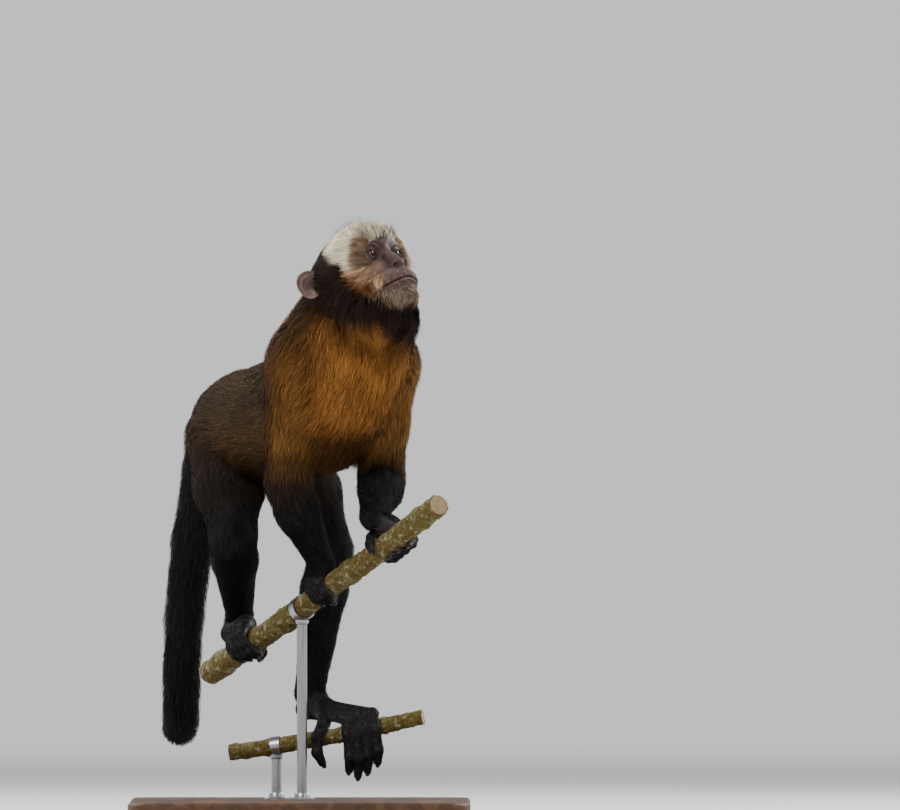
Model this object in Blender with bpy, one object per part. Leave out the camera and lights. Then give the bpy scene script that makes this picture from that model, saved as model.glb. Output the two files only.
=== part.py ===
"""Capuchin monkey, life size, standing on all fours along a sloping perch and looking up to one side.

Units in the tables are centimetres: +Z up, the foot of the stand's base centred on the origin, and the animal
facing mostly -Y. Each flesh part is given out to the tips of its coat: flesh radius plus coat depth.
"""

import itertools
import math

import bmesh
import bpy
import numpy as np
from mathutils import Matrix, Vector

CM = 0.01
GAP = 0.03  # left between neighbouring solids

# The heading of the body, seen from above, and the animal's left.
HEADING = np.array((0.423, -0.906, 0.0))
LEFTWARD = np.array((0.906, 0.423, 0.0))

# The head looks further round to its left, and up.
HEAD_YAW = math.radians(43.7)
HEAD_PITCH = math.radians(16.0)
EYE_MIDPOINT = np.array((7.39, -13.2, 50.25))
HEAD_F = np.array((math.sin(HEAD_YAW) * math.cos(HEAD_PITCH),
                   -math.cos(HEAD_YAW) * math.cos(HEAD_PITCH), math.sin(HEAD_PITCH)))
HEAD_L = np.array((math.cos(HEAD_YAW), math.sin(HEAD_YAW), 0.0))
HEAD_U = np.cross(HEAD_F, HEAD_L)

# Chains of round masses down the body: (x, y, z, flesh radius, coat depth).
TRUNK = (
    (-6.3, 13.0, 35.0, 3.1, 0.9),
    (-4.7, 10.3, 34.9, 4.0, 0.9),
    (-2.6, 5.0, 35.3, 4.1, 0.9),
    (0.0, -0.6, 36.0, 4.6, 1.0),
    (2.2, -5.2, 37.3, 4.9, 1.0),
    (3.4, -7.9, 39.0, 4.4, 1.1),
)
BREAST = ((3.8, -9.3, 38.4, 3.1, 1.0), (4.4, -10.1, 42.0, 3.0, 1.2))
THROAT = ((5.9, -9.8, 41.6, 2.6, 1.2), (7.5, -11.4, 44.3, 2.0, 1.2))
NECK = ((3.8, -8.2, 42.6, 3.5, 1.3), (4.1, -9.0, 47.0, 2.7, 1.0))
WITHERS = {
    "right": ((2.2, -8.2, 43.3, 2.4, 1.1), (0.0, -9.1, 41.3, 2.0, 1.0)),
    "left": ((6.0, -7.8, 43.2, 2.4, 1.2), (7.5, -6.3, 40.8, 2.0, 1.1)),
}
UPPER_ARM = {
    "right": ((-0.1, -9.6, 39.6, 2.05, 0.9), (-0.5, -8.0, 35.0, 1.85, 0.8), (-1.0, -6.3, 30.0, 1.35, 0.7)),
    "left": ((7.5, -6.1, 40.0, 2.1, 0.9), (7.0, -5.3, 35.2, 1.85, 0.8), (7.2, -4.2, 30.5, 1.35, 0.7)),
}
FOREARM = {
    "right": ((-1.0, -6.3, 29.8, 1.35, 0.6), (-0.2, -5.6, 27.6, 1.45, 0.5), (2.0, -4.1, 22.9, 0.85, 0.3)),
    "left": ((7.2, -4.2, 30.3, 1.35, 0.6), (7.1, -6.8, 29.4, 1.45, 0.5), (6.4, -12.7, 27.1, 0.85, 0.3)),
}
THIGH = {
    "right": ((-6.5, 9.7, 34.0, 2.8, 0.8), (-6.3, 5.8, 29.8, 2.4, 0.7), (-5.9, 2.0, 25.6, 1.5, 0.6)),
    "left": ((-2.7, 11.2, 34.0, 2.8, 0.8), (0.5, 8.2, 29.3, 2.3, 0.7), (2.6, 5.2, 24.3, 1.45, 0.6)),
}
SHIN = {
    "right": ((-5.9, 2.1, 25.4, 1.5, 0.6), (-5.8, 5.4, 23.3, 1.55, 0.5), (-5.4, 12.2, 18.2, 0.9, 0.3)),
    "left": ((2.6, 5.2, 24.1, 1.45, 0.6), (2.1, 5.7, 20.6, 1.5, 0.6), (0.8, 7.2, 11.4, 0.9, 0.45)),
}
# Which way each wrist and ankle faces the hand or foot beyond it.
WRIST_WAY = {"right": (0.2, 0.1, -1.0), "left": (0.2, -0.5, -0.9)}
ANKLE_WAY = {"right": (0.0, -0.1, -1.0), "left": (0.15, -0.25, -0.95)}
TAIL_ROOT = ((-6.9, 14.8, 36.0, 1.6, 0.9), (-8.0, 17.3, 34.4, 1.4, 1.0), (-8.5, 18.5, 31.0, 1.2, 1.0),
             (-9.6, 18.9, 25.0, 1.05, 1.0), (-10.4, 19.0, 18.0, 0.95, 0.95), (-10.6, 19.2, 12.2, 0.85, 0.95))
TAIL_HOOK = {"centre": (-10.6, 23.1, 11.8), "radius": 3.9, "shrink": 0.9, "turn": math.radians(238),
             "tip": 0.5}
# Beyond the last point, the coat at the tail's tip: (reach, radius).
TAIL_TIP = ((0.9, 1.0), (1.4, 0.45))

# The head, in its own frame from the midpoint of the eyes: (forward, up, left) in centimetres.
# Each mass: centre, half-sizes, coat depth, how softly it blends, and whether it is one of a pair.
HEAD = (
    ((-3.7, -0.3, 0.0), (3.3, 2.75, 2.85), 0.60, 1.0, False),
    ((-1.9, 1.0, 0.0), (2.3, 1.95, 2.75), 0.50, 1.0, False),
    ((-0.75, 0.75, 1.35), (0.85, 0.6, 1.25), 0.15, 0.5, True),
    ((-0.9, -0.5, 2.2), (1.05, 1.25, 0.9), 0.40, 0.6, True),
    ((-2.9, -2.2, 1.9), (2.0, 2.0, 1.3), 0.80, 0.8, True),
    ((-4.8, -1.4, 2.1), (1.7, 1.7, 1.2), 0.70, 0.8, True),
    ((-0.9, -1.7, 0.0), (1.6, 1.5, 1.9), 0.10, 0.6, False),
    ((0.85, -2.85, 0.0), (1.55, 1.3, 2.1), 0.06, 0.6, False),
    ((0.75, -4.0, 0.0), (1.55, 1.0, 1.75), 0.45, 0.5, False),
    ((-1.9, -4.1, 1.0), (2.2, 1.2, 1.2), 0.90, 0.8, True),
    ((-2.2, -5.1, 0.0), (3.0, 2.0, 2.4), 1.05, 1.0, False),
)
NOSE = ((-0.05, 0.2, 0.0, 0.5, 0.0), (0.75, -0.75, 0.0, 0.42, 0.0), (1.6, -1.32, 0.0, 0.46, 0.0))
NOSTRIL_WING = (1.45, -1.52, 0.47)
EYE_SPREAD = 1.52
EYE_RADIUS = 0.80
EYE_BACK = 0.72
# Where the head meets the neck: a point (forward, up), and the way that plane faces.
NECK_PLANE = (-4.5, -4.45)
NECK_TILT = (0.416, 0.909)
EAR = {"place": (-5.5, -1.3, 4.3), "height": 2.7, "width": 2.1, "thick": 0.34}
EAR_FLARE, EAR_LEAN = math.radians(-38), math.radians(-12)

# The perch: two cut lengths of branch, given by points along the middle and the radius there.
PERCH_UPPER = ((-8.0, 15.0, 13.25, 1.1), (-5.72, 11.0, 14.87, 1.05), (0.5, 0.0, 19.3, 1.0),
               (7.74, -12.7, 24.75, 0.98), (12.2, -20.4, 28.2, 0.95))
PERCH_LOWER = ((-6.2, 4.1, 6.35, 0.75), (-3.3, 3.5, 6.7, 0.72), (3.96, 2.0, 7.95, 0.7),
               (10.8, 0.6, 9.5, 0.68))
KNOTS = {"perch_branch_upper": (0.06, 0.33, 0.62, 0.93), "perch_branch_lower": (0.2, 0.8)}
BRANCH_SIDES, BARK_LUMPS = 10, 0.04
BASE = {"x": 30.0, "y": 36.0, "thick": 2.2, "corner": 3.0, "edge": 0.35}
ROD_RADIUS = 0.45
RODS = {"stand_rod_upper": 0.405, "stand_rod_lower": 0.24}

# How finely each surface is drawn, and how many triangles it keeps.
BODY_STEP, HEAD_STEP, END_STEP = 0.6, 0.3, 0.24
BODY_TRIANGLES, HEAD_TRIANGLES, HAND_TRIANGLES, FOOT_TRIANGLES = 1950, 900, 290, 330
CORNER_SIDES = 24

COLOURS = {
    "rufous": (0.36, 0.13, 0.035, 1), "brown": (0.10, 0.05, 0.03, 1), "black": (0.02, 0.017, 0.02, 1),
    "cream": (0.65, 0.55, 0.40, 1), "eye": (0.05, 0.02, 0.01, 1), "bark": (0.35, 0.27, 0.16, 1),
    "wood": (0.10, 0.05, 0.025, 1), "steel": (0.35, 0.35, 0.36, 1), "skin": (0.30, 0.17, 0.13, 1),
}


# ---- distance fields: negative inside ----

def cone(p, a, b):
    """A tapered round mass from a to b, each (x, y, z, flesh radius, coat depth)."""
    start = np.array(a[:3])
    along = np.array(b[:3]) - start
    t = np.clip((p - start) @ along / (along @ along), 0, 1)
    near = p - start - t[:, None] * along
    return np.linalg.norm(near, axis=1) - ((a[3] + a[4]) * (1 - t) + (b[3] + b[4]) * t)


def ball(p, centre, half, extra=0.0):
    """An ellipsoid, swollen by extra."""
    half = np.array(half) + extra
    q = p - np.array(centre)
    k0 = np.linalg.norm(q / half, axis=1)
    k1 = np.linalg.norm(q / half ** 2, axis=1)
    return k0 * (k0 - 1) / np.maximum(k1, 1e-6)


def blend(a, b, soft):
    h = np.clip(1 - np.abs(a - b) / soft, 0, None)
    return np.minimum(a, b) - h * h * soft / 4


def chain(p, points, soft=0.8):
    found = cone(p, points[0], points[1])
    for a, b in zip(points[1:], points[2:]):
        found = blend(found, cone(p, a, b), soft)
    return found


def trunk(p):
    """The trunk is deeper than it is wide, so distance counts for more across it."""
    across = (p - np.array(TRUNK[-1][:3])) @ LEFTWARD
    narrow = p + across[:, None] * LEFTWARD * 0.16
    found = chain(narrow, TRUNK, 2.0)
    return blend(found, chain(narrow, BREAST), 2.0)


def head_frame(p):
    q = p - EYE_MIDPOINT
    return np.stack((q @ HEAD_F, q @ HEAD_U, q @ HEAD_L), axis=1)


def head(p):
    q = head_frame(p)
    mirrored = q.copy()
    mirrored[:, 2] = np.abs(q[:, 2])
    found = None
    for centre, half, coat, soft, paired in HEAD:
        one = ball(mirrored if paired else q, centre, half, coat)
        found = one if found is None else blend(found, one, soft)
    found = blend(found, chain(q, NOSE), 0.35)
    found = blend(found, ball(mirrored, NOSTRIL_WING, (0.35, 0.32, 0.3)), 0.25)
    hollow = ball(mirrored, (0.35, -0.05, EYE_SPREAD), (0.75, 0.55, 0.72))
    return -blend(-found, hollow, 0.3)


def tail_points():
    """The hanging tail, then a hook that winds back and inward."""
    points = list(TAIL_ROOT)
    cx, cy, cz = TAIL_HOOK["centre"]
    flesh, coat = TAIL_ROOT[-1][3:]
    steps = 16
    for i in range(1, steps + 1):
        part = i / steps
        angle = TAIL_HOOK["turn"] * part
        radius = TAIL_HOOK["radius"] - TAIL_HOOK["shrink"] * part
        points.append((cx - 0.5 * part, cy - radius * math.cos(angle), cz - radius * math.sin(angle),
                       flesh + (TAIL_HOOK["tip"] - flesh) * part, coat - 0.2 * part))
    return points


TAIL = tail_points()


def body(p):
    """Everything but the hands, the feet and the hanging length of the tail."""
    found = blend(blend(trunk(p), chain(p, NECK), 1.5), chain(p, THROAT), 1.5)
    for side in ("right", "left"):
        found = blend(found, chain(p, WITHERS[side]), 1.5)
        arm = blend(chain(p, UPPER_ARM[side]), chain(p, FOREARM[side]), 0.8)
        leg = blend(chain(p, THIGH[side], 1.2), chain(p, SHIN[side]), 0.8)
        found = blend(blend(found, arm, 0.9), leg, 1.2)
    found = blend(found, chain(p, TAIL_ROOT[:3]), 1.0)
    return blend(found, head(p), 1.0)


# ---- frames along the perch ----

def along_branch(points, share):
    """The middle of a branch, its direction and its radius at this share of its length."""
    middles = np.array([q[:3] for q in points])
    lengths = np.r_[0, np.cumsum(np.linalg.norm(np.diff(middles, axis=0), axis=1))]
    at = share * lengths[-1]
    place = np.array([np.interp(at, lengths, middles[:, i]) for i in range(3)])
    radius = float(np.interp(at, lengths, [q[3] for q in points]))
    i = min(int(np.searchsorted(lengths, at, "right")) - 1, len(points) - 2)
    i = max(i, 0)
    way = middles[i + 1] - middles[i]
    return place, way / np.linalg.norm(way), radius


def branch_frame(points, share):
    place, way, radius = along_branch(points, share)
    up = np.array((0, 0, 1.0)) - way[2] * way
    up /= np.linalg.norm(up)
    return place, way, up, np.cross(way, up), radius


def wrapped(points, share, shift, turn, r0, r1, side, lift=0.0, count=5):
    """A finger or toe lying round the branch: from turn[0] to turn[1] degrees over the top towards side."""
    place, way, up, out, radius = branch_frame(points, share)
    made = []
    for i in range(count):
        part = i / (count - 1)
        angle = math.radians(turn[0] + (turn[1] - turn[0]) * part)
        thick = r0 + (r1 - r0) * part
        reach = radius + thick + 0.02 + lift * (1 - part)
        spot = place + way * (shift[0] + (shift[1] - shift[0]) * part)
        spot = spot + reach * (math.cos(angle) * up + math.sin(angle) * side * out)
        made.append((*spot, thick, 0.0))
    return made


def right_hand():
    share, side = 0.5, 1.0
    place, way, up, out, radius = branch_frame(PERCH_UPPER, share)
    wrist = FOREARM["right"][-1]
    palm = place + up * (radius + 0.75) + way * 0.5 + out * 0.1
    made = [[wrist, (*palm, 0.85, 0.0)]]
    for i, reach in enumerate((150, 165, 165, 150)):
        start = -0.75 + 0.62 * i
        knuckle = wrapped(PERCH_UPPER, share, (start + 0.6, start + 1.1), (20, reach), 0.42, 0.28, side, 0.15)
        made.append([(*palm, 0.72, 0.0), knuckle[0]])
        made.append(knuckle)
    thumb = wrapped(PERCH_UPPER, share, (-0.7, -0.2), (-25, -125), 0.42, 0.28, side, 0.1, 4)
    made.append([(*palm, 0.65, 0.0), thumb[0]])
    made.append(thumb)
    return made


def left_hand():
    share, side = 0.79, -1.0
    place, way, up, out, radius = branch_frame(PERCH_UPPER, share)
    wrist = FOREARM["left"][-1]
    palm = place + up * (radius + 0.7) - out * 0.55 - way * 0.2
    made = [[wrist, (*palm, 0.85, 0.0)]]
    for i, reach in enumerate((178, 185, 180, 165)):
        start = -1.0 + 0.66 * i
        spread = (start, start + 0.15 + 0.45 * i)
        knuckle = wrapped(PERCH_UPPER, share, spread, (45, reach), 0.42, 0.28, side, 0.15)
        made.append([(*palm, 0.72, 0.0), knuckle[0]])
        made.append(knuckle)
    thumb = wrapped(PERCH_UPPER, share, (-1.5, -1.2), (-10, -105), 0.40, 0.28, side, 0.1, 4)
    made.append([(*palm, 0.65, 0.0), thumb[0]])
    made.append(thumb)
    return made


def right_foot():
    share, side = 0.16, 1.0
    place, way, up, out, radius = branch_frame(PERCH_UPPER, share)
    ankle = SHIN["right"][-1]
    heel = np.array(ankle[:3]) + np.array((0.1, 1.2, -1.7))
    sole = place + up * (radius + 0.8) - way * 1.6 + out * 0.3
    ball_of_foot = place + up * (radius + 0.65) + way * 1.2 + out * 0.4
    made = [[ankle, (*heel, 0.85, 0.0), (*sole, 0.85, 0.0), (*ball_of_foot, 0.85, 0.0)],
            [ankle, (*sole, 0.9, 0.0)]]
    for i, reach in enumerate((165, 170, 160, 145)):
        start = 1.9 - 0.78 * i
        toe = wrapped(PERCH_UPPER, share, (start, start + 0.5), (30, reach), 0.44, 0.30, side, 0.15)
        made.append([(*ball_of_foot, 0.75, 0.0), toe[0]])
        made.append(toe)
    hallux = wrapped(PERCH_UPPER, share, (-0.6, 0.4), (-25, -140), 0.5, 0.36, side, 0.1)
    made.append([(*sole, 0.8, 0.0), hallux[0]])
    made.append(hallux)
    return made


LEFT_TOES = ((6.35, 6.9, 5.2), (5.6, 6.0, 4.45), (4.85, 5.15, 4.0), (4.1, 4.35, 4.5))


def left_foot():
    """The left foot lies over the thin lower branch, and its toes hang in front of it."""
    ankle = SHIN["left"][-1]
    heel = np.array(ankle[:3]) + np.array((-0.3, 1.3, -1.3))
    sole = (2.2, 4.6, 10.1)
    made = [[ankle, (*heel, 0.85, 0.0), (*sole, 0.95, 0.0)], [ankle, (*sole, 1.0, 0.0)]]
    for top, tip, low in LEFT_TOES:
        over = along_lower(top)
        knuckle = (top, over[1] - 0.35, over[2] + 1.25, 0.52, 0.0)
        bend = (0.5 * (top + tip), over[1] - 1.25, over[2] - 0.1, 0.46, 0.0)
        middle = (tip, over[1] - 1.55, 0.5 * (over[2] + low) - 0.2, 0.42, 0.0)
        end = (tip - 0.05, over[1] - 1.2, low + 0.35, 0.32, 0.0)
        made.append([(*sole, 0.8, 0.0), knuckle, bend, middle, end])
    over = along_lower(1.9)
    made.append([(*sole, 0.75, 0.0), (2.1, over[1] + 0.1, over[2] + 1.3, 0.55, 0.0),
                 (1.55, over[1] - 1.3, over[2] + 0.2, 0.5, 0.0), (1.5, over[1] - 1.5, 6.4, 0.46, 0.0),
                 (1.95, over[1] - 1.2, 5.5, 0.36, 0.0)])
    return made


def along_lower(x):
    """The point of the lower branch's middle at this x."""
    middles = np.array([q[:3] for q in PERCH_LOWER])
    return np.array([np.interp(x, middles[:, 0], middles[:, i]) for i in range(3)])


def digits(made):
    def field(p):
        found = None
        for one in made:
            this = chain(p, one, 0.25)
            found = this if found is None else blend(found, this, 0.35)
        return found
    return field


# ---- meshes ----

def surface(field, low, high, step):
    """The closed surface where a field is zero: each grid cell is taken as six tetrahedra, without gaps."""
    low, high = np.array(low, float), np.array(high, float)
    count = np.ceil((high - low) / step).astype(int) + 1
    grid = np.stack(np.meshgrid(*[low[i] + step * np.arange(count[i]) for i in range(3)], indexing="ij"), -1)
    value = np.full(count, step)
    inner = (slice(1, -1),) * 3
    value[inner] = field(grid[inner].reshape(-1, 3)).reshape(count - 2)
    stride = (int(count[1] * count[2]), int(count[2]), 1)
    cell = np.zeros(count - 1, int)
    for corner in itertools.product((0, 1), repeat=3):
        cell += value[tuple(slice(c, c + n - 1) for c, n in zip(corner, count))] < 0
    base = np.argwhere((cell > 0) & (cell < 8)) @ np.array(stride)
    value, grid = value.ravel(), grid.reshape(-1, 3)
    corners = []
    for one, two, three in itertools.permutations(stride):
        corners.append(base[:, None] + np.array((0, one, one + two, one + two + three)))
    corners = np.concatenate(corners)
    inside = value[corners] < 0
    corners = np.take_along_axis(corners, np.argsort(~inside, axis=1, kind="stable"), 1)
    number = inside.sum(1)
    rims = {1: ((0, 1), (0, 2), (0, 3)), 3: ((0, 3), (1, 3), (2, 3)), 2: ((0, 2), (0, 3), (1, 3), (1, 2))}
    triangles = []
    for some, rim in rims.items():
        these = corners[number == some]
        pairs = np.stack([np.sort(these[:, list(edge)], axis=1) for edge in rim], 1)
        out = grid[these[:, some:]].mean(1) - grid[these[:, :some]].mean(1)
        for turn in ((0, 1, 2), (0, 2, 3))[:len(rim) - 2]:
            made = pairs[:, list(turn)]
            middle = grid[made].mean(2)
            across = np.cross(middle[:, 1] - middle[:, 0], middle[:, 2] - middle[:, 0])
            facing = np.einsum("ij,ij->i", across, out) > 0
            triangles.append(np.where(facing[:, None, None], made, made[:, ::-1]))
    triangles = np.concatenate(triangles)
    keys, faces = np.unique(triangles[..., 0] * len(value) + triangles[..., 1], return_inverse=True)
    first, second = keys // len(value), keys % len(value)
    share = np.clip(value[first] / (value[first] - value[second]), 0.12, 0.88)[:, None]
    return grid[first] * (1 - share) + grid[second] * share, faces.reshape(-1, 3)


def material(name):
    made = bpy.data.materials.new(name)
    made.use_nodes = True
    made.node_tree.nodes["Principled BSDF"].inputs["Base Color"].default_value = COLOURS[name.split("__")[1]]
    made.node_tree.nodes["Principled BSDF"].inputs["Roughness"].default_value = 0.7
    return made


def new_object(name, mesh, colour="brown", helper=False):
    made = bpy.data.objects.new(name, mesh)
    bpy.context.scene.collection.objects.link(made)
    made.hide_render = helper
    if helper:
        made.display_type = "WIRE"
    else:
        made.data.materials.clear()
        made.data.materials.append(material(f"{name}__{colour}"))
    return made


def mesh_of(points, faces):
    mesh = bpy.data.meshes.new("made")
    mesh.from_pydata((np.array(points) * CM).tolist(), [], [list(map(int, f)) for f in faces])
    mesh.update()
    return mesh


def settle(obj):
    """Replaces an object's mesh by what its modifiers make of it."""
    bpy.context.view_layer.update()
    graph = bpy.context.evaluated_depsgraph_get()
    mesh = bpy.data.meshes.new_from_object(obj.evaluated_get(graph))
    obj.modifiers.clear()
    obj.data = mesh


def thin_out(obj, triangles):
    """Fewer, larger faces, keeping the shape."""
    obj.data.calc_loop_triangles()
    now = len(obj.data.loop_triangles)
    if now > triangles:
        fewer = obj.modifiers.new("fewer", "DECIMATE")
        fewer.ratio = triangles / now
        settle(obj)


def combine(obj, other, operation):
    cut = obj.modifiers.new("cut", "BOOLEAN")
    cut.operation = operation
    cut.solver = "EXACT"
    cut.object = other
    settle(obj)


def largest_piece(obj):
    """Keeps the biggest body of a mesh and drops any crumbs."""
    made = bmesh.new()
    made.from_mesh(obj.data)
    left, bodies = set(made.verts), []
    while left:
        stack, found = [left.pop()], []
        while stack:
            vert = stack.pop()
            found.append(vert)
            for edge in vert.link_edges:
                other = edge.other_vert(vert)
                if other in left:
                    left.remove(other)
                    stack.append(other)
        bodies.append(found)
    bodies.sort(key=len)
    for crumb in bodies[:-1]:
        bmesh.ops.delete(made, geom=crumb, context="VERTS")
    bmesh.ops.remove_doubles(made, verts=made.verts, dist=2e-5)
    bmesh.ops.dissolve_degenerate(made, edges=made.edges, dist=1e-5)
    bmesh.ops.triangulate(made, faces=[f for f in made.faces if len(f.verts) > 4])
    made.to_mesh(obj.data)
    made.free()
    for polygon in obj.data.polygons:
        polygon.use_smooth = True
    obj.data.set_sharp_from_angle(angle=math.radians(50))


def region(planes, centre, reach, grow=0.0):
    """A convex block: a cube round centre, cut back by planes, each (point, outward normal)."""
    made = bmesh.new()
    bmesh.ops.create_cube(made, size=2 * (reach + grow) * CM, matrix=Matrix.Translation(Vector(centre) * CM))
    for point, normal in planes:
        normal = Vector(normal).normalized()
        place = (Vector(point) + normal * grow) * CM
        everything = made.verts[:] + made.edges[:] + made.faces[:]
        cut = bmesh.ops.bisect_plane(made, geom=everything, plane_co=place, plane_no=normal, clear_outer=True)
        rim = [e for e in cut["geom_cut"] if isinstance(e, bmesh.types.BMEdge)]
        bmesh.ops.holes_fill(made, edges=rim, sides=0)
    bmesh.ops.recalc_face_normals(made, faces=made.faces)
    mesh = bpy.data.meshes.new("region")
    made.to_mesh(mesh)
    made.free()
    return new_object("region", mesh, helper=True)


def carve(rest, name, colour, planes, centre, reach):
    """Moves what a block holds out of the rest and into a node of its own."""
    node = new_object(name, rest.data.copy(), colour)
    inside = region(planes, centre, reach)
    combine(node, inside, "INTERSECT")
    largest_piece(node)
    outside = region(planes, centre, reach, GAP)
    combine(rest, outside, "DIFFERENCE")
    bpy.data.objects.remove(inside)
    bpy.data.objects.remove(outside)
    return node


def tube(name, colour, stations, sides, swell=0.0, helper=False, knots=0.0, ways=None):
    """A closed round bar through stations (x, y, z, radius)."""
    middles = np.array([q[:3] for q in stations])
    points, faces = [], []
    side = None
    for i, (x, y, z, radius) in enumerate(stations):
        way = middles[min(i + 1, len(middles) - 1)] - middles[max(i - 1, 0)] if ways is None else ways[i]
        way = way / np.linalg.norm(way)
        side = np.cross(way, (0, 0, 1)) if side is None and abs(way[2]) < 0.95 else side
        side = np.cross(way, (0, 1, 0)) if side is None else side
        side = side - way * (side @ way)
        side /= np.linalg.norm(side)
        up = np.cross(side, way)
        for k in range(sides):
            angle = 2 * math.pi * k / sides
            lumpy = 1 + knots * math.sin(3 * angle + 1.7 * i) * math.sin(2.3 * i + angle)
            reach = radius * lumpy + swell
            points.append(np.array((x, y, z)) + reach * (math.cos(angle) * side + math.sin(angle) * up))
    rows = len(stations)
    for i in range(rows - 1):
        for k in range(sides):
            a, b = i * sides + k, i * sides + (k + 1) % sides
            faces.append((a, b, b + sides, a + sides))
    faces.append(tuple(reversed(range(sides))))
    faces.append(tuple(range((rows - 1) * sides, rows * sides)))
    made = new_object(name, mesh_of(points, faces), colour, helper)
    bm = bmesh.new()
    bm.from_mesh(made.data)
    bmesh.ops.recalc_face_normals(bm, faces=bm.faces)
    bm.to_mesh(made.data)
    bm.free()
    for polygon in made.data.polygons:
        polygon.use_smooth = len(polygon.vertices) == 4
    return made


def branch_stations(points, rows, knots):
    """Points along a branch with small swellings at its nodes and a slight natural bend."""
    made = []
    for i in range(rows):
        share = i / (rows - 1)
        place, way, up, out, radius = branch_frame(points, share)
        swelling = 1 + sum(0.12 * math.exp(-((share - k) / 0.018) ** 2) for k in knots)
        made.append((*place, radius * swelling))
    return made


def rounded_slab(name, colour):
    """The base: a flat slab with rounded corners and an eased upper edge."""
    outline = []
    for k in range(CORNER_SIDES):
        angle = 2 * math.pi * (k + 0.5) / CORNER_SIDES
        outline.append((math.copysign(BASE["x"] / 2 - BASE["corner"], math.cos(angle)), math.cos(angle),
                        math.copysign(BASE["y"] / 2 - BASE["corner"], math.sin(angle)), math.sin(angle)))
    rings = ((0.0, 0.0), (BASE["thick"] - BASE["edge"], 0.0), (BASE["thick"] - 0.1, BASE["edge"] * 0.45),
             (BASE["thick"], BASE["edge"]))
    points = [(x + (BASE["corner"] - inset) * c, y + (BASE["corner"] - inset) * s, z)
              for z, inset in rings for x, c, y, s in outline]
    size, top = CORNER_SIDES, CORNER_SIDES * (len(rings) - 1)
    faces = [tuple(range(size - 1, -1, -1)), tuple(range(top, top + size))]
    faces += [(first + k, first + (k + 1) % size, first + size + (k + 1) % size, first + size + k)
              for first in range(0, top, size) for k in range(size)]
    return new_object(name, mesh_of(points, faces), colour)


def round_object(name, colour, centre, half, turn, segments=20, rings=12):
    made = bmesh.new()
    bmesh.ops.create_uvsphere(made, u_segments=segments, v_segments=rings, radius=1)
    mesh = bpy.data.meshes.new(name)
    stretch = Matrix.Diagonal((*[h * CM for h in half], 1))
    place = Matrix.Translation(Vector(centre) * CM) @ turn.to_4x4() @ stretch
    made.transform(place)
    made.to_mesh(mesh)
    made.free()
    for polygon in mesh.polygons:
        polygon.use_smooth = True
    return new_object(name, mesh, colour)


def at_head(forward, up, left):
    return EYE_MIDPOINT + HEAD_F * forward + HEAD_U * up + HEAD_L * left


def unit(vector):
    vector = np.array(vector, float)
    return vector / np.linalg.norm(vector)


def heading_of(points):
    """The way a limb runs, from its first mass to its last."""
    return unit(np.array(points[-1][:3]) - np.array(points[0][:3]))


def limb_planes(points, inward, medial, front, back, top):
    """The planes that part an upper limb from the trunk: inside, before, behind and above it."""
    way = heading_of(points)
    middle = (np.array(points[0][:3]) + np.array(points[-1][:3])) / 2
    inward = unit(inward - way * (inward @ way))
    ahead = unit(HEADING - way * (HEADING @ way))
    first = np.array(points[0][:3]) - way * top
    return [(middle + inward * medial, inward), (middle + ahead * front, ahead),
            (middle - ahead * back, -ahead), (first, -way)]


def joint_plane(upper, lower):
    """Where a limb bends: a point and a normal that faces along the lower length."""
    return np.array(lower[0][:3]), unit(heading_of(upper) + heading_of(lower))


def end_of(name, colour, made, low, high, edge, way, perch, triangles):
    """A hand or a foot: its digits and palm as one body, past the end of the limb and clear of the branch."""
    obj = new_object(name, mesh_of(*surface(digits(made), low, high, END_STEP)), colour)
    thin_out(obj, triangles)
    edge, way = np.array(edge[:3]), unit(way)
    block = region([(edge + way * GAP, -way)], edge, 14)
    combine(obj, block, "INTERSECT")
    bpy.data.objects.remove(block)
    cutter = tube("cutter", "bark", perch, BRANCH_SIDES, GAP, True, BARK_LUMPS)
    combine(obj, cutter, "DIFFERENCE")
    bpy.data.objects.remove(cutter)
    largest_piece(obj)
    return obj


for old in list(bpy.data.objects):
    bpy.data.objects.remove(old)

HEAD_TURN = Matrix((HEAD_F, HEAD_L, HEAD_U)).transposed()
neck_point = at_head(*NECK_PLANE, 0)
neck_normal = NECK_TILT[0] * HEAD_F + NECK_TILT[1] * HEAD_U

# The whole body out to its coat, as one surface that is then parted at the joints.
rest = new_object("pelvis", mesh_of(*surface(body, (-15, -20, 1), (15, 26, 60), BODY_STEP)), "brown")
thin_out(rest, BODY_TRIANGLES)

# The head comes from the same field at a finer step, above the plane where it meets the neck.
skull = new_object("head", mesh_of(*surface(body, (-5, -21, 38), (14, -2, 57), HEAD_STEP)), "cream")
upper_half = region([(neck_point, -neck_normal)], neck_point, 30)
combine(skull, upper_half, "INTERSECT")
thin_out(skull, HEAD_TRIANGLES)
upper_half_grown = region([(neck_point, -neck_normal)], neck_point, 30, GAP)
combine(rest, upper_half_grown, "DIFFERENCE")

for side, sign in (("left", 1), ("right", -1)):
    centre = at_head(EAR["place"][0], EAR["place"][1], sign * EAR["place"][2])
    turn = HEAD_TURN @ Matrix.Rotation(sign * EAR_FLARE, 3, "Z") @ Matrix.Rotation(EAR_LEAN, 3, "Y")
    half = (EAR["width"] / 2, EAR["thick"] / 2, EAR["height"] / 2)
    round_object(f"ear_{side}", "skin", centre, half, turn, 10, 7)
    swollen = round_object("swollen", "skin", centre, [h + GAP * 2 for h in half], turn, 10, 7)
    combine(skull, swollen, "DIFFERENCE")
    bpy.data.objects.remove(swollen)
    centre = at_head(-EYE_BACK, 0, sign * EYE_SPREAD)
    round_object(f"eye_{side}", "eye", centre, [EYE_RADIUS] * 3, HEAD_TURN, 12, 8)
    swollen = round_object("swollen", "eye", centre, [EYE_RADIUS + GAP * 2] * 3, HEAD_TURN, 12, 8)
    combine(skull, swollen, "DIFFERENCE")
    bpy.data.objects.remove(swollen)
largest_piece(skull)

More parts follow.
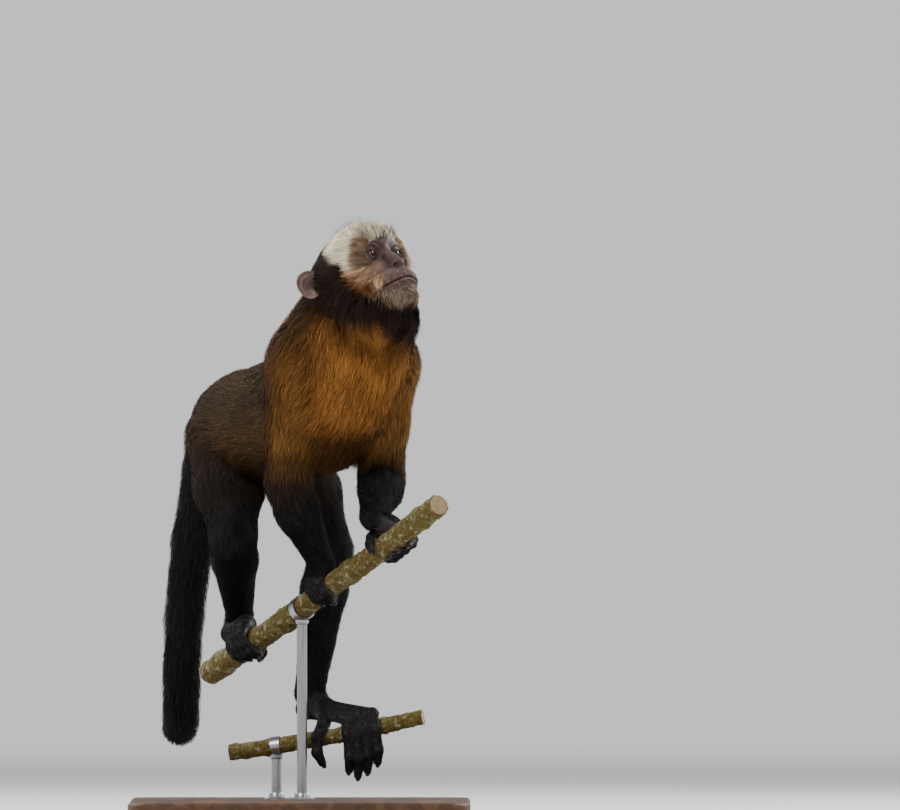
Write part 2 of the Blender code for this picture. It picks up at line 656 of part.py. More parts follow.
for side, sign in (("right", 1), ("left", -1)):
    inward = LEFTWARD * sign
    between = (np.array((3.6 if side == "right" else 4.2, 0, 0)), (sign, 0, 0))
    elbow, bend = joint_plane(UPPER_ARM[side], FOREARM[side])
    wrist, out = np.array(FOREARM[side][-1][:3]), unit(WRIST_WAY[side])
    middle = (elbow + wrist) / 2
    along = heading_of(FOREARM[side])
    above = unit(np.array((0, 0, 1)) - along * along[2])
    carve(rest, f"forearm_{side}", "black", [(elbow, -bend), (wrist, out), between, ((0, -1.8, 0), (0, 1, 0)),
                                             (middle + above * 2.3, above)], middle, 9)
    carve(rest, f"upper_arm_{side}", "rufous",
          limb_planes(UPPER_ARM[side], inward, 2.1, 3.4, 3.4, 1.7), elbow + np.array((0, 0, 6)), 12)
    knee, bend = joint_plane(THIGH[side], SHIN[side])
    ankle, out = np.array(SHIN[side][-1][:3]), unit(ANKLE_WAY[side])
    between = (np.array((-1.6, 0, 0)), (sign, 0, 0))
    carve(rest, f"shin_{side}", "black", [(knee, -bend), (ankle, out), between, ((0, -1.8, 0), (0, -1, 0))],
          (knee + ankle) / 2, 9)
    carve(rest, f"thigh_{side}", "brown",
          limb_planes(THIGH[side], inward, 2.4, 3.6, 3.6, -1.0), knee + np.array((0, 3, 5)), 13)

root_way = heading_of(TAIL_ROOT[0:2])
tail_cut, tail_way = np.array(TAIL_ROOT[2][:3]), heading_of(TAIL_ROOT[2:4])
root_cut = np.array(TAIL_ROOT[0][:3]) + root_way * 0.9
carve(rest, "tail_01", "black", [(root_cut, -root_way), (tail_cut, tail_way)], tail_cut, 7)
carve(rest, "neck", "brown", [((3.6, -7.6, 42.4), (-0.1, 0.45, -0.9))], (4, -9, 44), 9)
carve(rest, "chest", "rufous", [((1.0, -2.8, 36.6), -HEADING)], (3, -8, 37), 14)
carve(rest, "abdomen", "brown", [((-3.0, 6.0, 35.0), -HEADING)], (0, 0, 36), 14)
largest_piece(rest)

# The hanging tail, in lengths, each starting a gap after the one before.
stations, cuts = [], []
for i, (a, b) in enumerate(zip(TAIL[2:], TAIL[3:])):
    pieces = max(1, round(np.linalg.norm(np.array(b[:3]) - np.array(a[:3])) / 2.0))
    if i in (0, 1, 2, 6, 11):
        cuts.append(len(stations))
    stations += [np.array(a) + (np.array(b) - np.array(a)) * k / pieces for k in range(pieces)]
stations.append(np.array(TAIL[-1]))
ways = [unit(stations[min(i + 1, len(stations) - 1)][:3] - stations[max(i - 1, 0)][:3])
        for i in range(len(stations))]
cuts.append(len(stations) - 1)
for number, (first, last) in enumerate(zip(cuts, cuts[1:]), 2):
    bars = [(*q[:3], q[3] + q[4]) for q in stations[first:last + 1]]
    bars[0] = (*(stations[first][:3] + ways[first] * GAP), bars[0][3])
    these = ways[first:last + 1]
    if last == cuts[-1]:
        for reach, radius in TAIL_TIP:
            bars.append((*(stations[-1][:3] + ways[-1] * reach), radius))
        these = these + [ways[-1]] * len(TAIL_TIP)
    tube(f"tail_{number:02d}", "black", bars, 12, ways=these)

perches = {"perch_branch_upper": branch_stations(PERCH_UPPER, 20, KNOTS["perch_branch_upper"]),
           "perch_branch_lower": branch_stations(PERCH_LOWER, 11, KNOTS["perch_branch_lower"])}
for name, stations in perches.items():
    tube(name, "bark", stations, BRANCH_SIDES, knots=BARK_LUMPS)
rounded_slab("stand_base", "wood")
for name, share in RODS.items():
    branch = PERCH_UPPER if name.endswith("upper") else PERCH_LOWER
    x, y, z = along_branch(branch, share)[0]
    rod = tube(name, "steel", ((x, y, BASE["thick"] + GAP, ROD_RADIUS), (x, y, z, ROD_RADIUS)), 16)
    bark = perches[name.replace("stand_rod", "perch_branch")]
    cutter = tube("cutter", "bark", bark, BRANCH_SIDES, GAP, True, BARK_LUMPS)
    combine(rod, cutter, "DIFFERENCE")
    bpy.data.objects.remove(cutter)
    largest_piece(rod)

end_of("hand_right", "black", right_hand(), (-2, -10, 17), (8, 0, 26),
       FOREARM["right"][-1], WRIST_WAY["right"], perches["perch_branch_upper"], HAND_TRIANGLES)
end_of("hand_left", "black", left_hand(), (3, -19, 20), (13, -8, 31),
       FOREARM["left"][-1], WRIST_WAY["left"], perches["perch_branch_upper"], HAND_TRIANGLES)
end_of("foot_right", "black", right_foot(), (-11, 3, 11), (0, 18, 22),
       SHIN["right"][-1], ANKLE_WAY["right"], perches["perch_branch_upper"], HAND_TRIANGLES)
end_of("foot_left", "black", left_foot(), (-4, -3, 2), (10, 12, 16),
       SHIN["left"][-1], ANKLE_WAY["left"], perches["perch_branch_lower"], FOOT_TRIANGLES)

for helper in [o for o in bpy.data.objects if o.hide_render]:
    bpy.data.objects.remove(helper)
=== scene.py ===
"""The looks of the life-size capuchin monkey: one skin, a coat of solid tufts, eyes, nails, its perch and the stand.

Tables are in centimetres, as in the CAD part: +Z up, the foot of the stand's base centred on the origin.
"""

import contextlib
import math

import bmesh
import bpy
import numpy as np
from mathutils import Matrix, Vector


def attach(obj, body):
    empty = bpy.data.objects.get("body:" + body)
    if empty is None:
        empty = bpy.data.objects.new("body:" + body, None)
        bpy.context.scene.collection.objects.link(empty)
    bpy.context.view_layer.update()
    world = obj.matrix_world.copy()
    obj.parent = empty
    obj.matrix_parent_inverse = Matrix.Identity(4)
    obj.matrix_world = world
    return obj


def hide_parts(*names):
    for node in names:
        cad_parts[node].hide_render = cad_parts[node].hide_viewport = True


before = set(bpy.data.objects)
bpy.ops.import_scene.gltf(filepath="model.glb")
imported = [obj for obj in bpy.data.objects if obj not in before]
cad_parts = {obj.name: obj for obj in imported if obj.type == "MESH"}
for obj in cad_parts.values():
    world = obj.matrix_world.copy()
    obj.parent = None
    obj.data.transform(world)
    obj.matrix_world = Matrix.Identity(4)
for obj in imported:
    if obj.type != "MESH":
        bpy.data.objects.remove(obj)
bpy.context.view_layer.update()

CM = 0.01
RANDOM = np.random.default_rng(20)
SIDES = ("right", "left")

# ---- the body's measures: (x, y, z, flesh radius, coat depth) down each length ----

HEADING = np.array((0.423, -0.906, 0.0))
LEFTWARD = np.array((0.906, 0.423, 0.0))
HEAD_YAW, HEAD_PITCH = math.radians(43.7), math.radians(16.0)
EYE_MIDPOINT = np.array((7.39, -13.2, 50.25))
HEAD_F = np.array((math.sin(HEAD_YAW) * math.cos(HEAD_PITCH),
                   -math.cos(HEAD_YAW) * math.cos(HEAD_PITCH), math.sin(HEAD_PITCH)))
HEAD_L = np.array((math.cos(HEAD_YAW), math.sin(HEAD_YAW), 0.0))
HEAD_U = np.cross(HEAD_F, HEAD_L)
HEAD_AXES = np.array((HEAD_F, HEAD_U, HEAD_L))

TRUNK = ((-6.3, 13.0, 35.0, 3.1, 0.9), (-4.7, 10.3, 34.9, 4.0, 0.9), (-2.6, 5.0, 35.3, 4.1, 0.9),
         (0.0, -0.6, 36.0, 4.6, 1.0), (2.2, -5.2, 37.3, 4.9, 1.0), (3.4, -7.9, 39.0, 4.4, 1.1))
TRUNK_NARROWED = 0.16
BREAST = ((3.8, -9.3, 38.4, 3.1, 1.0), (4.4, -10.1, 42.0, 3.0, 1.2))
THROAT = ((5.9, -9.8, 41.6, 2.6, 1.2), (7.5, -11.4, 44.3, 2.0, 1.2))
NECK = ((3.8, -8.2, 42.6, 3.5, 1.3), (4.1, -9.0, 47.0, 2.7, 1.0))
WITHERS = {
    "right": ((2.2, -8.2, 43.3, 2.4, 1.1), (0.0, -9.1, 41.3, 2.0, 1.0)),
    "left": ((6.0, -7.8, 43.2, 2.4, 1.2), (7.5, -6.3, 40.8, 2.0, 1.1)),
}
UPPER_ARM = {
    "right": ((-0.1, -9.6, 39.6, 2.05, 0.9), (-0.5, -8.0, 35.0, 1.85, 0.8), (-1.0, -6.3, 30.0, 1.35, 0.7)),
    "left": ((7.5, -6.1, 40.0, 2.1, 0.9), (7.0, -5.3, 35.2, 1.85, 0.8), (7.2, -4.2, 30.5, 1.35, 0.7)),
}
FOREARM = {
    "right": ((-1.0, -6.3, 29.8, 1.35, 0.6), (-0.2, -5.6, 27.6, 1.45, 0.5), (2.0, -4.1, 22.9, 0.85, 0.3)),
    "left": ((7.2, -4.2, 30.3, 1.35, 0.6), (7.1, -6.8, 29.4, 1.45, 0.5), (6.4, -12.7, 27.1, 0.85, 0.3)),
}
THIGH = {
    "right": ((-6.5, 9.7, 34.0, 2.8, 0.8), (-6.3, 5.8, 29.8, 2.4, 0.7), (-5.9, 2.0, 25.6, 1.5, 0.6)),
    "left": ((-2.7, 11.2, 34.0, 2.8, 0.8), (0.5, 8.2, 29.3, 2.3, 0.7), (2.6, 5.2, 24.3, 1.45, 0.6)),
}
SHIN = {
    "right": ((-5.9, 2.1, 25.4, 1.5, 0.6), (-5.8, 5.4, 23.3, 1.55, 0.5), (-5.4, 12.2, 18.2, 0.9, 0.3)),
    "left": ((2.6, 5.2, 24.1, 1.45, 0.6), (2.1, 5.7, 20.6, 1.5, 0.6), (0.8, 7.2, 11.4, 0.9, 0.45)),
}
TAIL_ROOT = ((-6.9, 14.8, 36.0, 1.6, 0.9), (-8.0, 17.3, 34.4, 1.4, 1.0), (-8.5, 18.5, 31.0, 1.2, 1.0),
             (-9.6, 18.9, 25.0, 1.05, 1.0), (-10.4, 19.0, 18.0, 0.95, 0.95), (-10.6, 19.2, 12.2, 0.85, 0.95))
# The hook: its centre, its radius and how much that shrinks, its turn, its steps, and at its tip the radius,
# how much thinner the coat is, and how far it has drifted across.
HOOK_CENTRE, HOOK_RADIUS, HOOK_SHRINK = (-10.6, 23.1, 11.8), 3.9, 0.9
HOOK_TURN, HOOK_STEPS = math.radians(238), 16
HOOK_TIP, HOOK_THINNED, HOOK_DRIFT = 0.5, 0.2, 0.5

# The head, from the midpoint of the eyes: (forward, up, left).
# Each mass: centre, half-sizes, coat depth, how softly it blends, and whether it is one of a pair.
HEAD = (
    ((-3.7, -0.3, 0.0), (3.3, 2.75, 2.85), 0.60, 1.0, False),
    ((-1.9, 1.0, 0.0), (2.3, 1.95, 2.75), 0.50, 1.0, False),
    ((-0.75, 0.75, 1.35), (0.85, 0.6, 1.25), 0.15, 0.5, True),
    ((-0.9, -0.5, 2.2), (1.05, 1.25, 0.9), 0.40, 0.6, True),
    ((-2.9, -2.2, 1.9), (2.0, 2.0, 1.3), 0.80, 0.8, True),
    ((-4.8, -1.4, 2.1), (1.7, 1.7, 1.2), 0.70, 0.8, True),
    ((-0.9, -1.7, 0.0), (1.6, 1.5, 1.9), 0.10, 0.6, False),
    ((0.85, -2.85, 0.0), (1.55, 1.3, 2.1), 0.06, 0.6, False),
    ((0.75, -4.0, 0.0), (1.55, 1.0, 1.75), 0.45, 0.5, False),
    ((-1.9, -4.1, 1.0), (2.2, 1.2, 1.2), 0.90, 0.8, True),
    ((-2.2, -5.1, 0.0), (3.0, 2.0, 2.4), 1.05, 1.0, False),
)
NOSE = ((-0.05, 0.2, 0.0, 0.5, 0.0), (0.75, -0.75, 0.0, 0.42, 0.0), (1.6, -1.32, 0.0, 0.46, 0.0))
NOSTRIL_WING, WING_HALF = (1.45, -1.52, 0.47), (0.36, 0.32, 0.3)
# The nostril's carved hole, its half-sizes, and the half-sizes of the painted shade inside it.
NOSTRIL, NOSTRIL_HALF, NOSTRIL_SHADE_HALF = (1.80, -1.58, 0.56), (0.30, 0.26, 0.24), (0.32, 0.28, 0.26)
EYE_SPREAD, EYE_RADIUS, EYE_BACK, LID, CORNEA = 1.52, 0.80, 0.72, 0.13, 0.05
SOCKET, SOCKET_HALF = (0.35, -0.05, EYE_SPREAD), (0.75, 0.55, 0.72)
EAR_PLACE, EAR_HALF_WIDTH, EAR_HALF_HEIGHT = np.array((-5.5, -1.3, 4.3)), 1.05, 1.35

# The perch: two cut lengths of branch, given by points along the middle and the radius there.
PERCH_UPPER = ((-8.0, 15.0, 13.25, 1.1), (-5.72, 11.0, 14.87, 1.05), (0.5, 0.0, 19.3, 1.0),
               (7.74, -12.7, 24.75, 0.98), (12.2, -20.4, 28.2, 0.95))
PERCH_LOWER = ((-6.2, 4.1, 6.35, 0.75), (-3.3, 3.5, 6.7, 0.72), (3.96, 2.0, 7.95, 0.7), (10.8, 0.6, 9.5, 0.68))
BASE_X, BASE_Y, BASE_THICK, BASE_CORNER, BASE_EDGE = 30.0, 36.0, 2.2, 3.0, 0.35
ROD_RADIUS = 0.45


# ---- distance fields: negative inside; coat is 0 for the skin and 1 for the tips of the fur ----

def unit(v):
    v = np.asarray(v, float)
    return v / np.maximum(np.linalg.norm(v, axis=-1, keepdims=True), 1e-9)


def dot(a, b):
    return np.einsum("ij,ij->i", a, b)


def hump(x, at, width):
    """1 at one value, falling away on both sides."""
    return np.exp(-((x - at) / width) ** 2)


def ramp(x, low, span):
    """From 0 at low to 1 at low + span, in a straight line."""
    return np.clip((x - low) / span, 0, 1)


def rising(x, low, high):
    """From 0 at low to 1 at high, smoothly."""
    t = np.clip((x - low) / (high - low), 0, 1)
    return t * t * (3 - 2 * t)


def within(p, low, high):
    return ((p > low) & (p < high)).all(1)


def cone(p, a, b, coat=0.0):
    """A tapered round mass from a to b, each (x, y, z, flesh radius, coat depth)."""
    start = np.array(a[:3])
    along = np.array(b[:3]) - start
    t = np.clip((p - start) @ along / (along @ along), 0, 1)
    away = p - start - t[:, None] * along
    reach_a, reach_b = a[3] + coat * a[4], b[3] + coat * b[4]
    return np.sqrt(dot(away, away)) - (reach_a * (1 - t) + reach_b * t)


def ball(p, centre, half, extra=0.0):
    """An ellipsoid, swollen by extra."""
    half = np.array(half) + extra
    q = (p - np.array(centre)) / half
    k0 = np.sqrt(dot(q, q))
    q /= half
    k1 = np.sqrt(dot(q, q))
    return k0 * (k0 - 1) / np.maximum(k1, 1e-6)


def blend(a, b, soft):
    h = np.clip(1 - np.abs(a - b) / soft, 0, None)
    return np.minimum(a, b) - h * h * soft / 4


def carve(a, b, soft):
    """a with b taken away."""
    return -blend(-a, b, soft)


def chain(p, points, soft=0.8, coat=0.0):
    found = cone(p, points[0], points[1], coat)
    for a, b in zip(points[1:], points[2:]):
        found = blend(found, cone(p, a, b, coat), soft)
    return found


def trunk(p, coat):
    """The trunk is deeper than it is wide, so distance counts for more across it."""
    across = (p - np.array(TRUNK[-1][:3])) @ LEFTWARD
    narrow = p + across[:, None] * LEFTWARD * TRUNK_NARROWED
    return blend(chain(narrow, TRUNK, 2.0, coat), chain(narrow, BREAST, 0.8, coat), 2.0)


def head_frame(p):
    return (p - EYE_MIDPOINT) @ HEAD_AXES.T


def mirrored(q):
    return np.stack((q[:, 0], q[:, 1], np.abs(q[:, 2])), axis=1)


def mouth_height(left):
    """Where the closed mouth runs: highest in the middle, turned down at its corners."""
    return -2.78 - 0.62 * (np.abs(left) / 1.95) ** 1.6


def fissure(m):
    """The almond gap between the lids, as a bar running forward."""
    left = m[:, 2] - EYE_SPREAD
    up = m[:, 1] - 0.10 * left
    upper, lower = np.hypot(left, up + 0.34) - 0.62, np.hypot(left, up - 0.31) - 0.62
    return np.maximum(np.maximum(upper, lower), -(m[:, 0] + EYE_BACK - 0.15))


def face_detail(m, found):
    """Lids, nostrils, lips and folds of the bare face."""
    fwd, up, out = m.T
    found = blend(found, ball(m, (-EYE_BACK, 0, EYE_SPREAD), [EYE_RADIUS + LID] * 3), 0.22)
    found = carve(found, fissure(m), 0.07)
    found = carve(found, ball(m, NOSTRIL, NOSTRIL_HALF), 0.1)
    front = ramp(fwd, 0.3, 0.6)
    off = up - mouth_height(out)
    lips = 0.17 * hump(off, 0, 0.075) - 0.05 * hump(np.abs(off), 0.2, 0.12)
    found = found + lips * front * ramp(-out, -2.2, 0.25)
    beside = np.clip(fwd + 1.1, 0, 1)
    found = found + 0.03 * hump(np.hypot((out - EYE_SPREAD) * 0.85, up + 0.05), 1.02, 0.09) * beside
    over_lid = hump(np.hypot((out - EYE_SPREAD) * 0.9, up - 0.02), 0.62, 0.05)
    found = found + 0.03 * over_lid * (up > 0) * beside
    fold = 0.045 * hump(np.abs(out - 0.62 - 0.32 * np.clip(-1.1 - up, 0, 2)), 0, 0.08)
    return found + fold * ramp(-up, 0.6, 0.3) * ramp(up, -2.5, 0.5) * front


def head(p, coat):
    q = head_frame(p)
    m = mirrored(q)
    found = None
    for centre, half, depth, soft, paired in HEAD:
        one = ball(m if paired else q, centre, half, coat * depth)
        found = one if found is None else blend(found, one, soft)
    found = blend(found, chain(q, NOSE), 0.35)
    found = blend(found, ball(m, NOSTRIL_WING, WING_HALF), 0.25)
    found = carve(found, ball(m, SOCKET, SOCKET_HALF), 0.3)
    near = np.flatnonzero((q[:, 0] > -2.6) & (np.abs(q[:, 1]) < 5) & (m[:, 2] < 3.4) & (found < 1.2))
    if coat == 0 and len(near):
        found[near] = face_detail(m[near], found[near])
    return found


def tail_points():
    """The hanging tail, then a hook that winds back and inward."""
    points = list(TAIL_ROOT)
    cx, cy, cz = HOOK_CENTRE
    flesh_radius, coat = TAIL_ROOT[-1][3:]
    for i in range(1, HOOK_STEPS + 1):
        part = i / HOOK_STEPS
        angle, radius = HOOK_TURN * part, HOOK_RADIUS - HOOK_SHRINK * part
        points.append((cx - HOOK_DRIFT * part, cy - radius * math.cos(angle), cz - radius * math.sin(angle),
                       flesh_radius + (HOOK_TIP - flesh_radius) * part, coat - HOOK_THINNED * part))
    return points


TAIL = tail_points()


# ---- frames along the perch, and the digits that hold it ----

def along_branch(points, share):
    """The middle of a branch, its direction and its radius at this share of its length."""
    middles = np.array([q[:3] for q in points])
    lengths = np.r_[0, np.cumsum(np.linalg.norm(np.diff(middles, axis=0), axis=1))]
    at = share * lengths[-1]
    place = np.array([np.interp(at, lengths, middles[:, i]) for i in range(3)])
    radius = float(np.interp(at, lengths, [q[3] for q in points]))
    i = max(min(int(np.searchsorted(lengths, at, "right")) - 1, len(points) - 2), 0)
    way = middles[i + 1] - middles[i]
    return place, way / np.linalg.norm(way), radius


def branch_frame(points, share):
    place, way, radius = along_branch(points, share)
    up = np.array((0, 0, 1.0)) - way[2] * way
    up /= np.linalg.norm(up)
    return place, way, up, np.cross(way, up), radius


def digit(share, side, root, shift, turn, widths, lift, count=5):
    """A finger or toe lying round the upper branch, from turn[0] to turn[1] degrees over the top towards side,
    and the length that joins it to its root."""
    place, way, up, out, radius = branch_frame(PERCH_UPPER, share)
    made = []
    for i in range(count):
        part = i / (count - 1)
        angle = math.radians(turn[0] + (turn[1] - turn[0]) * part)
        thick = widths[0] + (widths[1] - widths[0]) * part
        reach = radius + thick + 0.02 + lift * (1 - part)
        spot = place + way * (shift[0] + (shift[1] - shift[0]) * part)
        spot = spot + reach * (math.cos(angle) * up + math.sin(angle) * side * out)
        made.append((*spot, thick, 0.0))
    return [[root, made[0]], made]


def digits(share, side, root, shifts, start_turn, end_turns, widths):
    """Four digits side by side; shifts has where each end of the first lies, and the step to the next."""
    (near, near_step), (far, far_step) = shifts
    made = []
    for i, end_turn in enumerate(end_turns):
        shift = (near + near_step * i, far + far_step * i)
        made += digit(share, side, root, shift, (start_turn, end_turn), widths, 0.15)
    return made


def hand(limb, share, side, offset, shifts, start_turn, end_turns, thumb_shift, thumb_turn, thumb_root):
    """A hand round the upper branch; offset goes from the branch to the palm: up, along and out."""
    place, way, up, out, radius = branch_frame(PERCH_UPPER, share)
    palm = place + up * (radius + offset[0]) + way * offset[1] + out * offset[2]
    return ([[FOREARM[limb][-1], (*palm, 0.85, 0.0)]]
            + digits(share, side, (*palm, 0.72, 0.0), shifts, start_turn, end_turns, (0.42, 0.28))
            + digit(share, side, (*palm, 0.65, 0.0), thumb_shift, thumb_turn, (thumb_root, 0.28), 0.1, 4))


def right_foot():
    share, side = 0.16, 1.0
    place, way, up, out, radius = branch_frame(PERCH_UPPER, share)
    ankle = SHIN["right"][-1]
    heel = np.array(ankle[:3]) + np.array((0.1, 1.2, -1.7))
    sole = place + up * (radius + 0.8) - way * 1.6 + out * 0.3
    toe_root = place + up * (radius + 0.65) + way * 1.2 + out * 0.4
    shifts = ((1.9, -0.78), (2.4, -0.78))
    return ([[ankle, (*heel, 0.85, 0.0), (*sole, 0.85, 0.0), (*toe_root, 0.85, 0.0)], [ankle, (*sole, 0.9, 0.0)]]
            + digits(share, side, (*toe_root, 0.75, 0.0), shifts, 30, (165, 170, 160, 145), (0.44, 0.30))
            + digit(share, side, (*sole, 0.8, 0.0), (-0.6, 0.4), (-25, -140), (0.5, 0.36), 0.1))


def along_lower(x):
    """The height and depth of the lower branch's middle at this x: (y, z)."""
    middles = np.array(PERCH_LOWER)
    return [float(np.interp(x, middles[:, 0], middles[:, i])) for i in (1, 2)]


# For each hanging toe: x where it crosses the branch, x of its tip, and how low it hangs.
LEFT_TOES = ((6.35, 6.9, 5.2), (5.6, 6.0, 4.45), (4.85, 5.15, 4.0), (4.1, 4.35, 4.5))
LEFT_HALLUX = 1.9


def left_foot():
    """The left foot lies over the thin lower branch, and its toes hang in front of it."""
    ankle = SHIN["left"][-1]
    heel = np.array(ankle[:3]) + np.array((-0.3, 1.3, -1.3))
    sole = (2.2, 4.6, 10.1)
    made = [[ankle, (*heel, 0.85, 0.0), (*sole, 0.95, 0.0)], [ankle, (*sole, 1.0, 0.0)]]
    for top, tip, low in LEFT_TOES:
        y, z = along_lower(top)
        made.append([(*sole, 0.8, 0.0), (top, y - 0.35, z + 1.25, 0.52, 0.0),
                     (0.5 * (top + tip), y - 1.25, z - 0.1, 0.46, 0.0),
                     (tip, y - 1.55, 0.5 * (z + low) - 0.2, 0.42, 0.0), (tip - 0.05, y - 1.2, low + 0.35, 0.32, 0.0)])
    y, z = along_lower(LEFT_HALLUX)
    made.append([(*sole, 0.75, 0.0), (2.1, y + 0.1, z + 1.3, 0.55, 0.0), (1.55, y - 1.3, z + 0.2, 0.5, 0.0),
                 (1.5, y - 1.5, 6.4, 0.46, 0.0), (1.95, y - 1.2, 5.5, 0.36, 0.0)])
    return made


ENDS = {
    "hand_right": hand("right", 0.5, 1.0, (0.75, 0.5, 0.1), ((-0.15, 0.62), (0.35, 0.62)), 20, (150, 165, 165, 150),
                       (-0.7, -0.2), (-25, -125), 0.42),
    "hand_left": hand("left", 0.79, -1.0, (0.7, -0.2, -0.55), ((-1.0, 0.66), (-0.85, 1.11)), 45, (178, 185, 180, 165),
                      (-1.5, -1.2), (-10, -105), 0.40),
    "foot_right": right_foot(),
    "foot_left": left_foot(),
}
AROUND_END = 1.2
END_BOXES = {}
for end_name, end_parts in ENDS.items():
    spots = np.array([q[:3] for one in end_parts for q in one])
    END_BOXES[end_name] = spots.min(0) - AROUND_END, spots.max(0) + AROUND_END


def flesh(p, coat=0.0):
    """The whole animal."""
    found = blend(blend(trunk(p, coat), chain(p, NECK, 0.8, coat), 1.5), chain(p, THROAT, 0.8, coat), 1.5)
    for side in SIDES:
        found = blend(found, chain(p, WITHERS[side], 0.8, coat), 1.5)
        arm = blend(chain(p, UPPER_ARM[side], 0.8, coat), chain(p, FOREARM[side], 0.8, coat), 0.8)
        leg = blend(chain(p, THIGH[side], 1.2, coat), chain(p, SHIN[side], 0.8, coat), 0.8)
        found = blend(blend(found, arm, 0.9), leg, 1.2)
    low = np.flatnonzero(p[:, 1] > 12)
    if len(low):
        found[low] = blend(found[low], chain(p[low], TAIL, 0.3, coat), 1.0)
    above = np.flatnonzero(within(p, EYE_MIDPOINT - 13, EYE_MIDPOINT + 11))
    if len(above):
        found[above] = blend(found[above], head(p[above], coat), 1.0)
    for name, made in ENDS.items():
        here = np.flatnonzero(within(p, *END_BOXES[name]))
        if len(here):
            whole = None
            for one in made:
                this = chain(p[here], one, 0.25)
                whole = this if whole is None else blend(whole, this, 0.3)
            found[here] = blend(found[here], whole, 0.35)
    return found


def in_parts(function, p, *more, size=200_000):
    return np.concatenate([function(p[i:i + size], *more) for i in range(0, len(p), size)])


def slope(field, p, step):
    """A field's value at each point, and how it grows along each axis."""
    here = field(p)
    return here, np.stack([field(p + one * step) - here for one in np.eye(3)], axis=1) / step


def settle(p, rounds=2, most=0.12):
    """Moves points onto the skin."""
    for _ in range(rounds):
        here, away = slope(lambda q: in_parts(flesh, q), p, 0.02)
        move = -(here / np.maximum((away ** 2).sum(1), 0.3))[:, None] * away
        length = np.linalg.norm(move, axis=1, keepdims=True)
        p = p + move * np.minimum(1, most / np.maximum(length, 1e-9))
    return p


# ---- meshes ----

def grid(axes):
    """Every combination of the values on three axes."""
    return np.stack(np.meshgrid(*axes, indexing="ij"), -1).reshape(-1, 3)


CELL_CORNERS = grid([(0, 1)] * 3)
NEAR_SKIN = 1.35  # how many coarse cells away from the skin is still near it


def surface_net(low, high, coarse, parts):
    """Quads along the skin: coarse cells near it are looked at again, parts times finer each way."""
    low, high = np.array(low, float), np.array(high, float)
    cells = np.ceil((high - low) / coarse).astype(int)
    rough = in_parts(flesh, grid([low[i] + coarse * (np.arange(cells[i]) + 0.5) for i in range(3)])).reshape(cells)
    step = coarse / parts
    value = np.sign(rough).astype(np.float32)
    for axis in range(3):
        value = value.repeat(parts, axis)
    near = np.argwhere(np.abs(rough) < coarse * NEAR_SKIN)
    index = (near[:, None, :] * parts + grid([np.arange(parts)] * 3)[None]).reshape(-1, 3)
    value[tuple(index.T)] = in_parts(flesh, low + (index + 0.5) * step)
    inside = value < 0
    crossed = np.zeros(np.array(value.shape) - 1, np.int8)
    for corner in CELL_CORNERS:
        crossed += inside[tuple(slice(d, d + n - 1) for d, n in zip(corner, value.shape))]
    cell = np.argwhere((crossed > 0) & (crossed < 8))
    number = np.full(crossed.shape, -1, np.int32)
    number[tuple(cell.T)] = np.arange(len(cell))
    total, count = np.zeros((len(cell), 3)), np.zeros(len(cell))
    for corner in CELL_CORNERS:
        for one in np.eye(3, dtype=int)[corner == 0]:
            a, b = value[tuple((cell + corner).T)], value[tuple((cell + corner + one).T)]
            cut = (a < 0) != (b < 0)
            share = np.where(cut, a / np.where(cut, a - b, 1), 0)
            total += (cell + corner + share[:, None] * one) * cut[:, None]
            count += cut
    points = low + (total / count[:, None] + 0.5) * step
    quads = []
    for axis in range(3):
        u, v = (axis + 1) % 3, (axis + 2) % 3
        edge = np.argwhere(np.diff(inside, axis=axis))
        edge = edge[(edge[:, u] > 0) & (edge[:, v] > 0)
                    & (edge[:, u] < value.shape[u] - 1) & (edge[:, v] < value.shape[v] - 1)]
        around = []
        for du, dv in ((-1, -1), (0, -1), (0, 0), (-1, 0)):
            at = edge.copy()
            at[:, u] += du
            at[:, v] += dv
            around.append(number[tuple(at.T)])
        quad = np.stack(around, 1)
        quads.append(np.where(inside[tuple(edge.T)][:, None], quad, quad[:, ::-1]))
    return points, np.concatenate(quads)


def quick_mesh(name, points, faces):
    """A mesh from arrays of points and of faces that all have as many sides."""
    mesh = bpy.data.meshes.new(name)
    faces = np.asarray(faces, np.int32)
    mesh.vertices.add(len(points))
    mesh.vertices.foreach_set("co", (points * CM).astype(np.float32).ravel())
    mesh.loops.add(faces.size)
    mesh.loops.foreach_set("vertex_index", faces.ravel())
    mesh.polygons.add(len(faces))
    mesh.polygons.foreach_set("loop_start", np.arange(0, faces.size, faces.shape[1], dtype=np.int32))
    mesh.update(calc_edges=True)
    mesh.shade_smooth()
    return mesh


def mesh_of(name, points, faces):
    """A mesh from points and faces with any number of sides."""
    mesh = bpy.data.meshes.new(name)
    mesh.from_pydata((np.array(points) * CM).tolist(), [], faces)
    mesh.shade_smooth()
    return mesh


@contextlib.contextmanager
def edited(mesh):
    """The mesh as a bmesh, written back when the block ends."""
    made = bmesh.new()
    made.from_mesh(mesh)
    yield made
    made.to_mesh(mesh)
    made.free()


def tube(rings, around, first=0):
    """Quads between rings of points that follow one another, from point number first."""
    quads = []
    for ring in range(rings - 1):
        for k in range(around):
            a, b = first + ring * around + k, first + ring * around + (k + 1) % around
            quads.append((a, b, b + around, a + around))
    return quads


def shell(rings, around):
    """Faces of rings of points with a point before the first and one after the last."""
    last = 1 + (rings - 1) * around
    sides = [(k, (k + 1) % around) for k in range(around)]
    return ([(0, 1 + b, 1 + a) for a, b in sides] + [(last + around, last + a, last + b) for a, b in sides]
            + tube(rings, around, 1))


def closed_tube(rings, around):
    """Faces of rings of points, closed flat at both ends."""
    return [tuple(range(around - 1, -1, -1)), tuple(range(around * (rings - 1), around * rings)),
            *tube(rings, around)]


def circle(around):
    return np.linspace(0, 2 * math.pi, around, endpoint=False)


